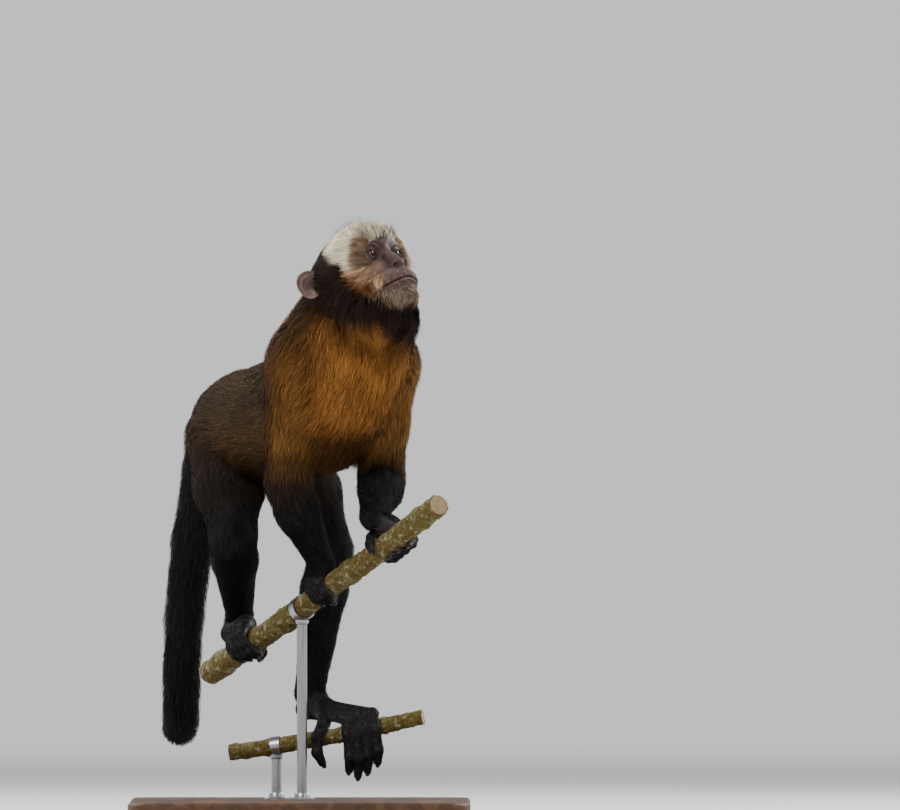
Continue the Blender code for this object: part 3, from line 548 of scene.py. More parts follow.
def read_all(items, key, width, kind=np.float32):
    """One property of all these items, as rows."""
    found = np.empty(len(items) * width, kind)
    items.foreach_get(key, found)
    return found.reshape(-1, width)


def points_of(mesh):
    return read_all(mesh.vertices, "co", 3).astype(float) / CM


def normals_of(mesh):
    return read_all(mesh.vertex_normals, "vector", 3).astype(float)


def set_points(mesh, points):
    mesh.vertices.foreach_set("co", (points * CM).astype(np.float32).ravel())
    mesh.update()


def put_colours(mesh, colours):
    """Stores one colour for each point."""
    layer = mesh.color_attributes.new("tint", "FLOAT_COLOR", "POINT")
    full = np.ones((len(colours), 4), np.float32)
    full[:, :3] = colours
    layer.data.foreach_set("color", full.ravel())


def piece(name, mesh, slot, material, *replaced):
    obj = bpy.data.objects.new(name, mesh)
    bpy.context.scene.collection.objects.link(obj)
    mesh.materials.clear()
    mesh.materials.append(material)
    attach(obj, "root")
    if replaced:
        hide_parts(*replaced)
    return obj


# ---- noise and colours, from points alone ----

def hashed(i, j, k, seed):
    """A number from 0 to 1 for each whole-numbered place."""
    mixed = (i * 73856093) ^ (j * 19349663) ^ (k * 83492791) ^ (seed * 2654435761)
    mixed = ((mixed ^ (mixed >> 13)) * 1274126177) & 0x7FFFFFFF
    return ((mixed ^ (mixed >> 15)) & 0xFFFF) / 65535.0


def noise(p, size, seed=0):
    """Smooth noise from -1 to 1, with features about this size across."""
    q = p / size + 1000.0
    base = np.floor(q).astype(np.int64)
    part = q - base
    x, y, z = (part * part * (3 - 2 * part)).T
    total = np.zeros(len(p))
    for corner in CELL_CORNERS:
        i, j, k = corner
        weight = (x if i else 1 - x) * (y if j else 1 - y) * (z if k else 1 - z)
        total += weight * hashed(*(base + corner).T, seed)
    return 2 * total - 1


def mix(a, b, share):
    share = np.asarray(share)[..., None]
    return np.asarray(a) * (1 - share) + np.asarray(b) * share


def layered(colour, *layers):
    """A colour under others, each with its share."""
    for over, share in layers:
        colour = mix(colour, over, share)
    return colour


# ---- the lie of the coat and its markings ----

BLACK, DARK, BEARD = (0.015, 0.014, 0.015), (0.026, 0.018, 0.014), (0.020, 0.012, 0.009)
BACK, FLANK, SHOULDER = (0.042, 0.024, 0.0095), (0.080, 0.038, 0.0125), (0.066, 0.034, 0.014)
RUST, GOLD, ORANGE = (0.150, 0.061, 0.016), (0.325, 0.135, 0.029), (0.21, 0.090, 0.030)
CREAM, CREAM_DARK, HONEY = (0.79, 0.705, 0.515), (0.40, 0.34, 0.25), (0.58, 0.355, 0.205)
TAN, TAN_DARK, CHIN = (0.185, 0.100, 0.057), (0.095, 0.050, 0.030), (0.25, 0.175, 0.120)
DOWN, DOWN_PALE = (0.105, 0.064, 0.054), (0.30, 0.20, 0.16)
DOWN_DARK, DOWN_SHADED_BELOW_NOSE = (0.075, 0.045, 0.038), (0.060, 0.036, 0.031)

# Each length of the body: group, points, whether the coat runs from its last point to its first, and the colours
# at its points, above and below.
LENGTHS = [
    ("torso", TRUNK, True, (DARK, BACK, BACK, BACK, BACK, SHOULDER), (DARK, BACK, FLANK, FLANK, RUST, RUST)),
    ("chest", BREAST, True, (RUST, RUST), (GOLD, GOLD)),
    ("chest", THROAT, True, (RUST, BEARD), (GOLD, (0.10, 0.045, 0.015))),
    ("neck", NECK, True, (SHOULDER, BEARD), (RUST, BEARD)),
]
for one_side in SIDES:
    LENGTHS += [
        (f"arm_{one_side}", WITHERS[one_side], False, (SHOULDER, (0.068, 0.033, 0.014)),
         ((0.095, 0.047, 0.018), (0.13, 0.060, 0.018))),
        (f"arm_{one_side}", UPPER_ARM[one_side], False,
         ((0.062, 0.029, 0.012), (0.055, 0.026, 0.011), (0.020, 0.012, 0.009)),
         ((0.19, 0.084, 0.022), (0.20, 0.092, 0.025), (0.032, 0.017, 0.010))),
        (f"arm_{one_side}", FOREARM[one_side], False, ((0.018, 0.012, 0.010), BLACK, BLACK), (DARK, BLACK, BLACK)),
        (f"leg_{one_side}", THIGH[one_side], False, ((0.042, 0.021, 0.012), DARK, BLACK), (DARK, DARK, BLACK)),
        (f"leg_{one_side}", SHIN[one_side], False, (BLACK,) * 3, (BLACK,) * 3),
    ]
LENGTHS.append(("tail", TAIL, False, *[(DARK, DARK) + (BLACK,) * (len(TAIL) - 2)] * 2))
LENGTHS += [(end_name, line, False, *[(BLACK,) * len(line)] * 2) for end_name, end_parts in ENDS.items()
            for line in end_parts]
GROUPS = sorted({entry[0] for entry in LENGTHS}) + ["head"]
ON_END = np.array([name in ENDS for name in GROUPS])
HEAD_GROUP = GROUPS.index("head")

# On the head: how far out from the middle the face is bare at each height, and where the dark beard,
# sideburns and nape begin at each distance forward.
BARE_UP = (-4.3, -3.8, -3.3, -2.8, -1.9, -1.2, -0.4, 0.4, 1.0, 1.45)
BARE_OUT = (0.0, 1.40, 2.00, 1.95, 1.65, 1.60, 2.05, 2.05, 1.50, 0.0)
DARK_FORWARD = (-7.5, -5.5, -4.2, -3.2, -2.3, -1.5, -0.9, 0.0, 0.8, 1.8)
DARK_UP = (3.2, 2.4, 1.3, 0.4, -0.4, -2.2, -3.3, -4.2, -4.9, -5.1)


def bareness(q):
    """1 on the bare skin of the face, 0 where the coat is full."""
    fwd, up, left = q.T
    out = np.interp(up, BARE_UP, BARE_OUT, left=0, right=0)
    ragged = 0.12 * noise(q, 0.45, 5)
    low = rising(-up, 1.5, 2.1)
    behind = rising(fwd, -1.9, -1.1) * (1 - low) + rising(fwd + ragged, 0.0, 0.45) * low
    return rising(out - np.abs(left) + ragged, -0.22, 0.16) * behind


def shade_below_nose(q):
    """1 in the middle of the upper lip, falling to 0 at its sides: where shade below the nose is painted."""
    return hump(q[:, 2], 0, 0.9) * rising(-q[:, 1], 1.4, 1.7) * rising(q[:, 1], -2.9, -2.5)


def face_edge(q):
    """How far each point lies outside the bare face, in cm."""
    fwd, up, left = q.T
    beside = np.clip(np.abs(left) - np.where(up > 0.4, 1.9, np.interp(up, BARE_UP, BARE_OUT)), 0, None)
    return np.sqrt(beside ** 2 + np.clip(up - 1.3, 0, None) ** 2 + np.clip(-1.2 - fwd, 0, None) ** 2)


def head_coat(q, p):
    """The colour of the coat on the head."""
    fwd, up, left = q.T
    out = np.abs(left)
    wobble = 0.25 * noise(p, 0.7, 3)
    edge = np.interp(fwd, DARK_FORWARD, DARK_UP) + wobble
    cheek = rising(out, 1.0, 1.7) * rising(fwd, -2.6, -1.4)
    # The tan beside each eye fades at the outer edge on the head's left, far side only (left 2.6-2.95): a painted rim
    # light on the far temple.
    beside_eye = (rising(fwd, -1.25, -0.65) * rising(-np.abs(up - 0.2), -1.85, -1.2) * rising(out, 1.4, 1.9)
                  * (1 - 0.55 * rising(left, 2.6, 2.95)))
    front = rising(fwd, -0.5, 0.3)
    # The down on the muzzle, with painted shade below the nose in the middle of the upper lip.
    down = layered(DOWN, (DOWN_PALE, rising(noise(p, 0.30, 13), 0.0, 0.7)),
                   (DOWN_DARK, 0.8 * rising(noise(p, 0.21, 14), 0.1, 0.7)), (DOWN_SHADED_BELOW_NOSE, 0.5 * shade_below_nose(q)))
    # Towards world x 6.6-8.2 the gold begins lower, leaving the beard's dark colour under the chin there: painted
    # shade under the chin.
    breast = rising(-p[:, 2] - 0.8 * wobble - 1.3 * rising(p[:, 0], 6.6, 8.2), -44.7, -42.9) * rising(fwd, -6.0, -3.5)
    return layered(
        CREAM, (CREAM_DARK, 0.6 * rising(noise(p, 0.5, 11), 0.0, 0.8)), (HONEY, rising(-up, 0.45, 1.6) * cheek),
        (mix(TAN, TAN_DARK, rising(noise(p, 0.3, 12), -0.1, 0.7)), 0.92 * beside_eye),
        (ORANGE, rising(edge + 1.15 - up, 0.0, 0.9) * rising(fwd, -2.4, -1.4)),
        (CHIN, front * rising(-up, 3.0, 3.6)), (down, bareness(q) * front),
        (BEARD, rising(edge - up, -0.15, 0.4)), (BEARD, rising(-fwd + 0.5 * wobble, 4.0, 5.0)),
        (mix(RUST, GOLD, rising(fwd, -3.0, 0.0)), breast))


def head_lie(q):
    """Which way the coat lies on the head, in the head's own frame: away from the face."""
    away = unit(q - np.array((2.6, -0.9, 0.0)))
    beard = rising(-q[:, 1], 2.2, 4.0)[:, None]
    away = away * (1 - beard) + beard * np.array((-0.25, -1.0, 0.0)) + 0.25 * beard * away
    cap = rising(q[:, 1], 0.9, 2.0) * rising(q[:, 0], -3.5, -0.5)
    return away + cap[:, None] * np.array((0.0, 0.35, 0.0))


def closeness(off):
    """How much a length counts at this distance outside it, in cm."""
    return np.exp(-np.clip(off, -0.6, 8) / 0.4)


def flattened(v, n):
    """The part of each vector that lies along the skin."""
    return v - n * dot(v, n)[:, None]


def reading(p, n):
    """For points on the skin: the lie of the coat, its colour, and the group of the nearest length."""
    lie, colour, weight = np.zeros_like(p), np.zeros_like(p), np.zeros(len(p))
    best, group = np.full(len(p), 9.0), np.zeros(len(p), int)

    def count_in(here, off, share, way, tint, number):
        lie[here] += share[:, None] * way
        colour[here] += share[:, None] * tint
        weight[here] += share
        nearer = off < best[here]
        best[here[nearer]] = off[nearer]
        group[here[nearer]] = number

    above = rising(n[:, 2] - n @ HEADING, -0.8, 0.3)
    for name, points, back, upper, lower in LENGTHS:
        spots = np.array([q[:3] for q in points])
        reach = max(q[3] for q in points) + 3.0
        here = np.flatnonzero(within(p, spots.min(0) - reach, spots.max(0) + reach))
        if not len(here):
            continue
        for i, (a, b) in enumerate(zip(points, points[1:])):
            along = spots[i + 1] - spots[i]
            size = along @ along
            if size < 1e-6:
                continue
            t = np.clip((p[here] - spots[i]) @ along / size, 0, 1)
            off = np.linalg.norm(p[here] - spots[i] - t[:, None] * along, axis=1)
            off = off - (a[3] * (1 - t) + b[3] * t)
            tint = mix(mix(lower[i], lower[i + 1], t), mix(upper[i], upper[i + 1], t), above[here])
            count_in(here, off, closeness(off), unit(along) * (-1 if back else 1), tint, GROUPS.index(name))
    here = np.flatnonzero(within(p, EYE_MIDPOINT - 12, EYE_MIDPOINT + 10))
    if len(here):
        q = head_frame(p[here])
        off = head(p[here], 0.5) + 0.2
        count_in(here, off, 2.5 * closeness(off), unit(head_lie(q) @ HEAD_AXES), head_coat(q, p[here]), HEAD_GROUP)
    # Painted shade: low on the body, surfaces that face downwards, between the arms and under the belly, are
    # darkened.
    under = rising(-n[:, 2], 0.3, 0.8) * rising(-p[:, 2], -36.5, -33.5)
    colour *= (1 - 0.6 * under)[:, None]
    return unit(flattened(lie, n) + 1e-6), colour / np.maximum(weight, 1e-9)[:, None], group


PERCH_BARS = [[(*q, 0.0) for q in points] for points in (PERCH_UPPER, PERCH_LOWER)]


def perch_gap(p):
    return np.minimum(*(chain(p, bar, 0.1) for bar in PERCH_BARS))


# ---- the skin's colours ----

FACE, FACE_DARK, FACE_PALE = (0.077, 0.038, 0.035), (0.034, 0.018, 0.017), (0.104, 0.057, 0.049)
FACE_TAN, FACE_PINK, FROWN_FOLD_SHADE = (0.165, 0.088, 0.052), (0.255, 0.145, 0.108), (0.020, 0.011, 0.010)
NOSTRIL_SHADE, MOUTH_SEAM_SHADE = (0.010, 0.006, 0.006), (0.030, 0.015, 0.014)
PALM, EAR_SKIN, EAR_HOLLOW_SHADE = (0.046, 0.037, 0.038), (0.155, 0.100, 0.083), (0.045, 0.026, 0.023)


def face_colour(m, p):
    fwd, up, out = m.T
    eye_ring = hump(np.hypot((out - EYE_SPREAD) / 1.15, up), 0.55, 0.30)
    # Painted shade in the fold above each eye, along a curve round it.
    frown = np.hypot((out - EYE_SPREAD) / 1.1, up + 0.15) - 1.12 + 0.12 * noise(p, 0.25, 23)
    under_eye = np.exp(-(((out - 1.5) / 0.55) ** 2 + ((up + 1.15) / 0.5) ** 2))
    patches = rising(noise(p, 0.28, 24) + 0.6 * noise(p, 0.11, 25), 0.05, 0.75)
    # Painted shade inside each nostril: the opening is darkened within an ellipsoid a little bigger than the carved
    # hole.
    hole = np.linalg.norm((m - np.array(NOSTRIL)) / np.array(NOSTRIL_SHADE_HALF), axis=1)
    off_mouth = np.abs(up - mouth_height(out))
    # Painted shade in the seam between the closed lips: a thin dark line along the mouth.
    line = (1 - rising(off_mouth, 0.04, 0.14)) * rising(2.25 - out, 0, 0.2) * rising(fwd, 0.3, 0.8)
    colour = layered(
        FACE, (FACE_PALE, rising(-up, 1.5, 2.4) * rising(fwd, 0.4, 1.2)),
        (FACE_TAN, 0.8 * rising(out, 1.7, 2.2) * rising(-fwd, 0.2, 0.8)),
        (FACE_DARK, (0.55 + 0.30 * noise(p, 0.3, 27)) * eye_ring * rising(fwd, -1.6, -0.9)),
        # The second darkening here is painted shade below the nose.
        (FACE_DARK, 0.45 * hump(out, 0, 0.8) * rising(up, -1.5, -0.5)), (FACE_DARK, 0.45 * shade_below_nose(m)),
        (FROWN_FOLD_SHADE, 0.85 * (hump(frown, 0, 0.15) * rising(up, 0.45, 0.75) * rising(-out, -2.0, -1.3))),
        (FACE_PINK, 0.75 * under_eye), (FACE_PINK, 0.55 * patches * rising(-up, 1.5, 2.1) * rising(fwd, 0.2, 0.9)),
        (FACE_DARK, 0.5 * rising(noise(p, 0.22, 26), 0.15, 0.8)), (NOSTRIL_SHADE, 1 - rising(hole, 0.75, 1.15)),
        (MOUTH_SEAM_SHADE, 0.9 * line))
    return colour * (1 + 0.16 * noise(p, 0.35, 21) + 0.10 * noise(p, 0.12, 22))[:, None]


def skin_colour(p, n):
    _, coat, group = reading(p, n)
    palm = np.array(PALM) * (1 + 0.25 * noise(p, 0.3, 9))[:, None]
    colour = np.where(ON_END[group][:, None], palm, coat * 0.45)
    on_head = np.flatnonzero(group == HEAD_GROUP)
    q = head_frame(p[on_head])
    colour[on_head] = mix(colour[on_head], face_colour(mirrored(q), p[on_head]), bareness(q))
    return np.clip(colour, 0.003, 1)


# ---- materials ----

class Nodes:
    """A node tree with a few ways to add to it."""

    def __init__(self, holder):
        holder.use_nodes = True
        self.nodes, self.links = holder.node_tree.nodes, holder.node_tree.links

    def feed(self, socket, value):
        if isinstance(value, bpy.types.NodeSocket):
            self.links.new(value, socket)
        else:
            socket.default_value = value

    def node(self, kind, **inputs):
        made = self.nodes.new(kind)
        for key, value in inputs.items():
            self.feed(made.inputs[key.replace("_", " ")], value)
        return made

    def place(self, *stretch):
        """The object's own coordinates, stretched if asked."""
        found = self.node("ShaderNodeTexCoord").outputs["Object"]
        return self.node("ShaderNodeMapping", Vector=found, Scale=stretch).outputs["Vector"] if stretch else found

    def noise(self, scale, detail=3.0, roughness=0.5, vector=None, distortion=0.0):
        made = self.node("ShaderNodeTexNoise", Vector=vector or self.place(), Scale=scale, Detail=detail,
                         Roughness=roughness, Distortion=distortion)
        return made.outputs["Fac"]

    def ramp(self, value, *stops):
        made = self.node("ShaderNodeValToRGB", Fac=value)
        while len(made.color_ramp.elements) < len(stops):
            made.color_ramp.elements.new(0.5)
        for element, (at, colour) in zip(made.color_ramp.elements, stops):
            element.position, element.color = at, (*colour, 1)
        return made.outputs["Color"]

    def grey(self, value, low, high):
        return self.ramp(value, (0.0, (low,) * 3), (1.0, (high,) * 3))

    def mixed(self, share, a, b, how="MIX"):
        made = self.nodes.new("ShaderNodeMix")
        made.data_type, made.blend_type = "RGBA", how
        for number, value in ((0, share), (6, a), (7, b)):
            self.feed(made.inputs[number], value)
        return made.outputs[2]


class Shader(Nodes):
    """A Principled material."""

    def __init__(self, name, **settings):
        self.material = bpy.data.materials.new(name)
        super().__init__(self.material)
        self.main = self.nodes["Principled BSDF"]
        for key, value in settings.items():
            self.main.inputs[key.replace("_", " ")].default_value = value

    def tint(self):
        """The colour stored at each point."""
        made = self.nodes.new("ShaderNodeVertexColor")
        made.layer_name = "tint"
        return made.outputs["Color"]

    def done(self, colour, roughness=None, height=None, strength=0.0, distance=0.0):
        self.feed(self.main.inputs["Base Color"], colour)
        if roughness:
            self.feed(self.main.inputs["Roughness"], roughness)
        if height:
            bump = self.node("ShaderNodeBump", Height=height, Strength=strength, Distance=distance)
            self.feed(self.main.inputs["Normal"], bump.outputs["Normal"])
        return self.material


def skin_material():
    made = Shader("skin", Specular_IOR_Level=0.25)
    fine = made.noise(420.0, 4.0, 0.6)
    colour = made.mixed(1.0, made.tint(), made.grey(fine, 0.72, 1.28), "MULTIPLY")
    roughness = made.grey(made.noise(160.0), 0.44, 0.68)
    creases = made.node("ShaderNodeTexVoronoi", Vector=made.place(), Scale=800.0)
    creases.feature = "DISTANCE_TO_EDGE"
    cells = made.ramp(creases.outputs["Distance"], (0.0, (0, 0, 0)), (0.12, (1, 1, 1)))
    return made.done(colour, roughness, made.mixed(0.5, cells, made.noise(900.0, 3.0)), 0.25, 0.0005)


def coat_material():
    made = Shader("coat", Roughness=0.75, Specular_IOR_Level=0.045)
    return made.done(made.tint())


def eye_material():
    made = Shader("eye", Roughness=0.05, Specular_IOR_Level=0.1, Coat_Weight=0.55, Coat_Roughness=0.015)
    return made.done(made.tint())


def nail_material():
    made = Shader("nail", Specular_IOR_Level=0.5)
    return made.done(made.ramp(made.noise(300.0), (0.3, (0.012, 0.010, 0.010)), (0.75, (0.045, 0.038, 0.036))),
                     made.grey(made.noise(500.0), 0.28, 0.45))


def bark_material():
    made = Shader("bark", Specular_IOR_Level=0.18)
    grain = made.noise(260.0, 6.0, 0.65)
    return made.done(made.mixed(1.0, made.tint(), made.grey(grain, 0.55, 1.45), "MULTIPLY"),
                     made.grey(made.noise(200.0), 0.72, 0.95),
                     made.mixed(0.5, grain, made.noise(900.0, 4.0, 0.7)), 0.6, 0.0012)


def stand_wood_material():
    made = Shader("stand_wood", Specular_IOR_Level=0.3)
    long = made.place(1.0, 0.07, 1.0)
    grain, pores = made.noise(70.0, 8.0, 0.62, long, 0.8), made.noise(620.0, 3.0, 0.6, long)
    tone = made.ramp(grain, (0.28, (0.035, 0.016, 0.008)), (0.5, (0.085, 0.038, 0.017)), (0.75, (0.15, 0.072, 0.034)))
    return made.done(made.mixed(1.0, tone, made.grey(pores, 0.7, 1.2), "MULTIPLY"), made.grey(pores, 0.48, 0.66),
                     pores, 0.12, 0.0003)


def steel_material():
    made = Shader("stand_steel", Metallic=1.0)
    brushed = made.noise(900.0, 4.0, 0.7, made.place(1.0, 1.0, 0.03))
    return made.done(made.ramp(brushed, (0.2, (0.26, 0.26, 0.27)), (0.8, (0.46, 0.46, 0.47))),
                     made.grey(brushed, 0.26, 0.42), brushed, 0.15, 0.0002)


# ---- the skin, with its ears ----

SKIN_BOX = ((-16, -21, 2), (16, 30, 58))
COARSE, PARTS = 0.6, 4
EAR_RINGS, EAR_AROUND = 17, 56
EAR_SPLAY, EAR_TILT = math.radians(-38), math.radians(-12)


def ear(sign):
    """A shell with a rolled rim, a fold inside it and a hollow in the middle; its front edge sinks into the head."""
    share = np.linspace(0, 1, EAR_RINGS + 1)[1:, None]
    angle = circle(EAR_AROUND)[None]
    across, along = np.cos(angle), np.sin(angle)
    behind = rising(-across + 0.55 * along, -0.35, 0.5)
    x = EAR_HALF_WIDTH * share * across * (1 + 0.10 * along)
    z = EAR_HALF_HEIGHT * share * along * (1 + 0.05 * np.cos(2 * angle))
    bowl = -0.42 * (1 - share ** 2)
    rim = 0.20 * hump(share, 0.92, 0.065) * behind
    fold = 0.17 * hump(share - 0.05 * np.sin(angle * 2), 0.63, 0.095) * behind
    tragus = 0.20 * hump(share, 0.55, 0.16) * hump((angle - 6.05) % 6.283, 0, 0.5)
    outer = bowl + rim + fold + tragus - 0.75 * np.clip(across - 0.25, 0, 1) * share
    inner = np.minimum(bowl * 1.05 - 0.13, outer - 0.09) - 0.05 * (1 - share)
    outer = np.where(share > 0.995, outer - 0.05, outer)
    points = np.concatenate(([(0, -0.42, 0)], np.stack((x, outer, z), -1).reshape(-1, 3),
                             np.stack((x * 0.985, inner, z * 0.985), -1)[::-1].reshape(-1, 3), [(0, -0.62, 0)]))
    turn = Matrix.Rotation(sign * EAR_SPLAY, 3, "Z") @ Matrix.Rotation(EAR_TILT, 3, "Y")
    axes = np.array(Matrix((HEAD_F, HEAD_L, HEAD_U)).transposed() @ turn) * np.array((1.0, sign, 1.0))
    spots = points @ axes.T + (EYE_MIDPOINT + EAR_PLACE * (1, 1, sign) @ HEAD_AXES)
    from_middle = np.repeat(share.ravel(), EAR_AROUND)
    from_middle = np.concatenate(([0.0], from_middle, from_middle[::-1], [0.4]))
    # Painted shade: the ear's skin darkens towards its middle, in its hollow.
    colour = mix(EAR_SKIN, EAR_HOLLOW_SHADE, 0.75 * (1 - rising(from_middle, 0.15, 0.6)))
    colour = colour * (1 + 0.18 * noise(spots, 0.3, 31))[:, None]
    return mesh_of("ear", spots, shell(2 * EAR_RINGS, EAR_AROUND)), colour


def near_face(p):
    fwd, up, left = head_frame(p).T
    return (fwd > -2.0) & (np.abs(left) < 2.6) & (up > -4.7) & (up < 1.9)


def near_ends(p):
    chosen = np.zeros(len(p), bool)
    for name, made in ENDS.items():
        here = np.flatnonzero(within(p, *END_BOXES[name]))
        gap = np.min([chain(p[here], one[-3:], 0.25) for one in made if len(one) > 3], axis=0)
        chosen[here[gap < 0.35]] = True
    return chosen


def refine(mesh, chosen, cuts):
    """Divides the faces whose points are all chosen."""
    with edited(mesh) as made:
        edges = {edge for face in made.faces if all(chosen[v.index] for v in face.verts) for edge in face.edges}
        bmesh.ops.subdivide_edges(made, edges=list(edges), cuts=cuts, use_grid_fill=True)


def skin_mesh():
    points, quads = surface_net(*SKIN_BOX, COARSE, PARTS)
    mesh = quick_mesh("skin", settle(points, 1), quads)
    refine(mesh, near_face(points_of(mesh)), 3)
    set_points(mesh, settle(points_of(mesh), 3, 0.08))
    refine(mesh, near_ends(points_of(mesh)), 1)
    points = points_of(mesh)
    moved = near_ends(points)
    points[moved] = settle(points[moved], 2, 0.06)
    set_points(mesh, points)
    return mesh


def with_ears(mesh, colours):
    """Joins the ears to the skin's mesh, and gives all the colours."""
    with edited(mesh) as made:
        for sign in (1, -1):
            one, tone = ear(sign)
            first = len(made.verts)
            made.from_mesh(one)
            made.verts.index_update()
            new_faces = [face for face in made.faces if face.verts[0].index >= first]
            bmesh.ops.recalc_face_normals(made, faces=new_faces)
            colours = np.concatenate((colours, tone))
    mesh.shade_smooth()
    return colours


def unwrap(obj):
    """An unwrap of the skin's own shape."""
    obj.data.uv_layers.new(name="OFBake")
    bpy.context.view_layer.objects.active = obj
    obj.select_set(True)
    bpy.ops.object.mode_set(mode="EDIT")
    bpy.ops.mesh.select_all(action="SELECT")
    bpy.ops.uv.smart_project(angle_limit=math.radians(72), island_margin=0.002)
    bpy.ops.object.mode_set(mode="OBJECT")
    obj.select_set(False)


# ---- the coat ----

MOST_TUFTS = 39_000
TUFTS = 236_000
# Along each tuft: its steps, how much of its rise it has made, and how wide it still is.
STEPS = np.array((0.0, 0.34, 0.70, 1.0))
RISE = np.array((-0.06, 0.62, 0.92, 1.0))
TAPER = np.array((1.0, 0.88, 0.58, 0.0))
TUFT_FACES = np.array(((0, 1, 3), (0, 3, 2), (2, 3, 5), (2, 5, 4), (4, 5, 6)))
STEP_OF_POINT = np.array((0, 0, 1, 1, 2, 2, 3))
LEANING = np.array((0.0, 0.06, 0.16, 0.26))
HALF_PATCH = 0.0015
# Painted shade deep in the coat: along each tuft, root to tip, its colour is scaled by these, darkest at the root and
# a little brightened at the tip, for dark and for pale coats.
ROOT_SHADE_DARK_COAT = np.array((0.42, 0.72, 1.02, 1.25))
ROOT_SHADE_PALE_COAT = np.array((0.72, 0.88, 1.02, 1.10))
GLINT, GLINT_TINT = np.array((0.0, 0.0, 0.003, 0.008)), np.array((1.0, 0.92, 0.86))
SLOT_OF = {"head": "coat_pale", "neck": "coat_pale", "chest": "coat_rufous", "torso": "coat_rufous",
           "arm_left": "coat_rufous", "arm_right": "coat_rufous"}
# Single hairs: piece, how many, length, width, colour, slot, how they stand (a share of the skin's outward direction
# and a lean), whether both sides have them, and the lowest and highest forward, up and left.
STRAYS = (
    ("coat_brow", 230, 1.2, 0.038, (0.008, 0.006, 0.006), "coat_dark", 0.4, HEAD_U - 0.2 * HEAD_F,
     True, (-1.9, 1.15, -9), (0.6, 2.6, 2.3)),
    ("coat_chin", 260, 0.75, 0.027, (0.45, 0.37, 0.28), "coat_pale", 1.0, -0.7 * HEAD_U,
     True, (0.8, -4.9, -9), (9, -3.5, 2.0)),
    # Pale temple hairs in the temple's real cream, but only on the left, far side: a painted rim light.
    ("coat_temple", 800, 0.75, 0.027, (0.70, 0.62, 0.49), "coat_pale", 1.0, -0.6 * HEAD_F,
     False, (-1.2, -2.0, 2.3), (0.3, 1.3, 9)),
    ("coat_ears", 700, 0.40, 0.013, (0.085, 0.066, 0.054), "coat_dark", 0.6, 0.5 * HEAD_U - 0.4 * HEAD_F,
     None, None, None),
    ("coat_lip", 60, 0.8, 0.027, (0.02, 0.015, 0.013), "coat_dark", 1.0, 0.3 * HEAD_U,
     True, (0.9, -2.6, 0.5), (9, -1.7, 2.0)),
    ("coat_crown", 420, 1.15, 0.036, (0.012, 0.009, 0.008), "coat_dark", 0.8, 0.5 * HEAD_U - 0.5 * HEAD_F,
     True, (-3.9, 2.0, -9), (-1.5, 9, 1.9)),
)


class Coat:
    """What each point of the skin says about the coat that grows there."""

    def __init__(self, points, normals):
        self.lie, self.colour, self.group = reading(points, normals)
        self.depth = np.clip(-in_parts(flesh, points, 1.0), 0.03, 1.35)
        self.length = 0.32 + 2.15 * self.depth
        self.width = 0.016 + 0.016 * self.length
        self.density = np.clip(1.7 / self.length, 0.75, 3.4)
        self.trim_head(head_frame(points))
        self.trim_ends(points, normals)

    def trim_head(self, q):
        """Short round the face, downy on it, and longer again on cheeks and temples."""
        fwd, up, left = q.T
        on_head = (self.group == HEAD_GROUP) & (fwd > -9)
        bare = np.where(on_head, bareness(q), 0)
        far = rising(face_edge(q), 0.0, 1.1)
        least = np.where(up > 1.0, 0.65, np.where(up > -1.2, 0.28, 0.5))
        trimmed = np.where(on_head, least + (1 - least) * far, 1)
        self.length *= trimmed
        self.depth *= trimmed
        self.density *= np.where(on_head, 1.5 + 0.6 * (1 - far), 1.0) * (1 - bare) ** 2
        self.density += 2.4 * (bare * rising(-up, 1.7, 2.5) * (1 - hump(up, mouth_height(left), 0.13)))
        cheek = on_head & (bare < 0.5) & (up < -0.9)
        self.length[cheek] = np.maximum(self.length[cheek], 0.8)
        self.depth[cheek] = np.maximum(self.depth[cheek], 0.15)
        corner = cheek & (fwd > -0.8) & (up > -4.0)
        self.width[corner] = 0.045
        self.depth[corner] = np.maximum(self.depth[corner], 0.22)
        self.density[corner] *= 0.4
        flare = on_head & (left > 2.1) & (fwd > -1.4) & (np.abs(up + 0.4) < 1.7)
        self.depth += 0.22 * flare
        self.length += 0.25 * flare
        downy = on_head & (bare > 0.4)
        self.depth[downy], self.length[downy], self.width[downy] = 0.035, 0.26, 0.010

    def trim_ends(self, points, normals):
        """Short on hands and feet, and none on palms and soles or where a branch is touched."""
        ends = ON_END[self.group]
        gap, away = slope(perch_gap, points, 0.05)
        self.depth[ends] = 0.05 + 0.4 * np.clip(self.depth[ends] - 0.05, 0, 1)
        self.length[ends] = 0.30 + 1.6 * self.depth[ends]
        covered = np.maximum(rising(dot(unit(away), normals), -0.1, 0.35), rising(gap, 1.7, 2.5))
        self.density[ends] = (2.4 * covered * rising(gap, 0.12, 0.5))[ends]
        self.density *= gap > 0.08


def bake_map(mesh):
    return read_all(mesh.uv_layers["OFBake"].uv, "vector", 2)


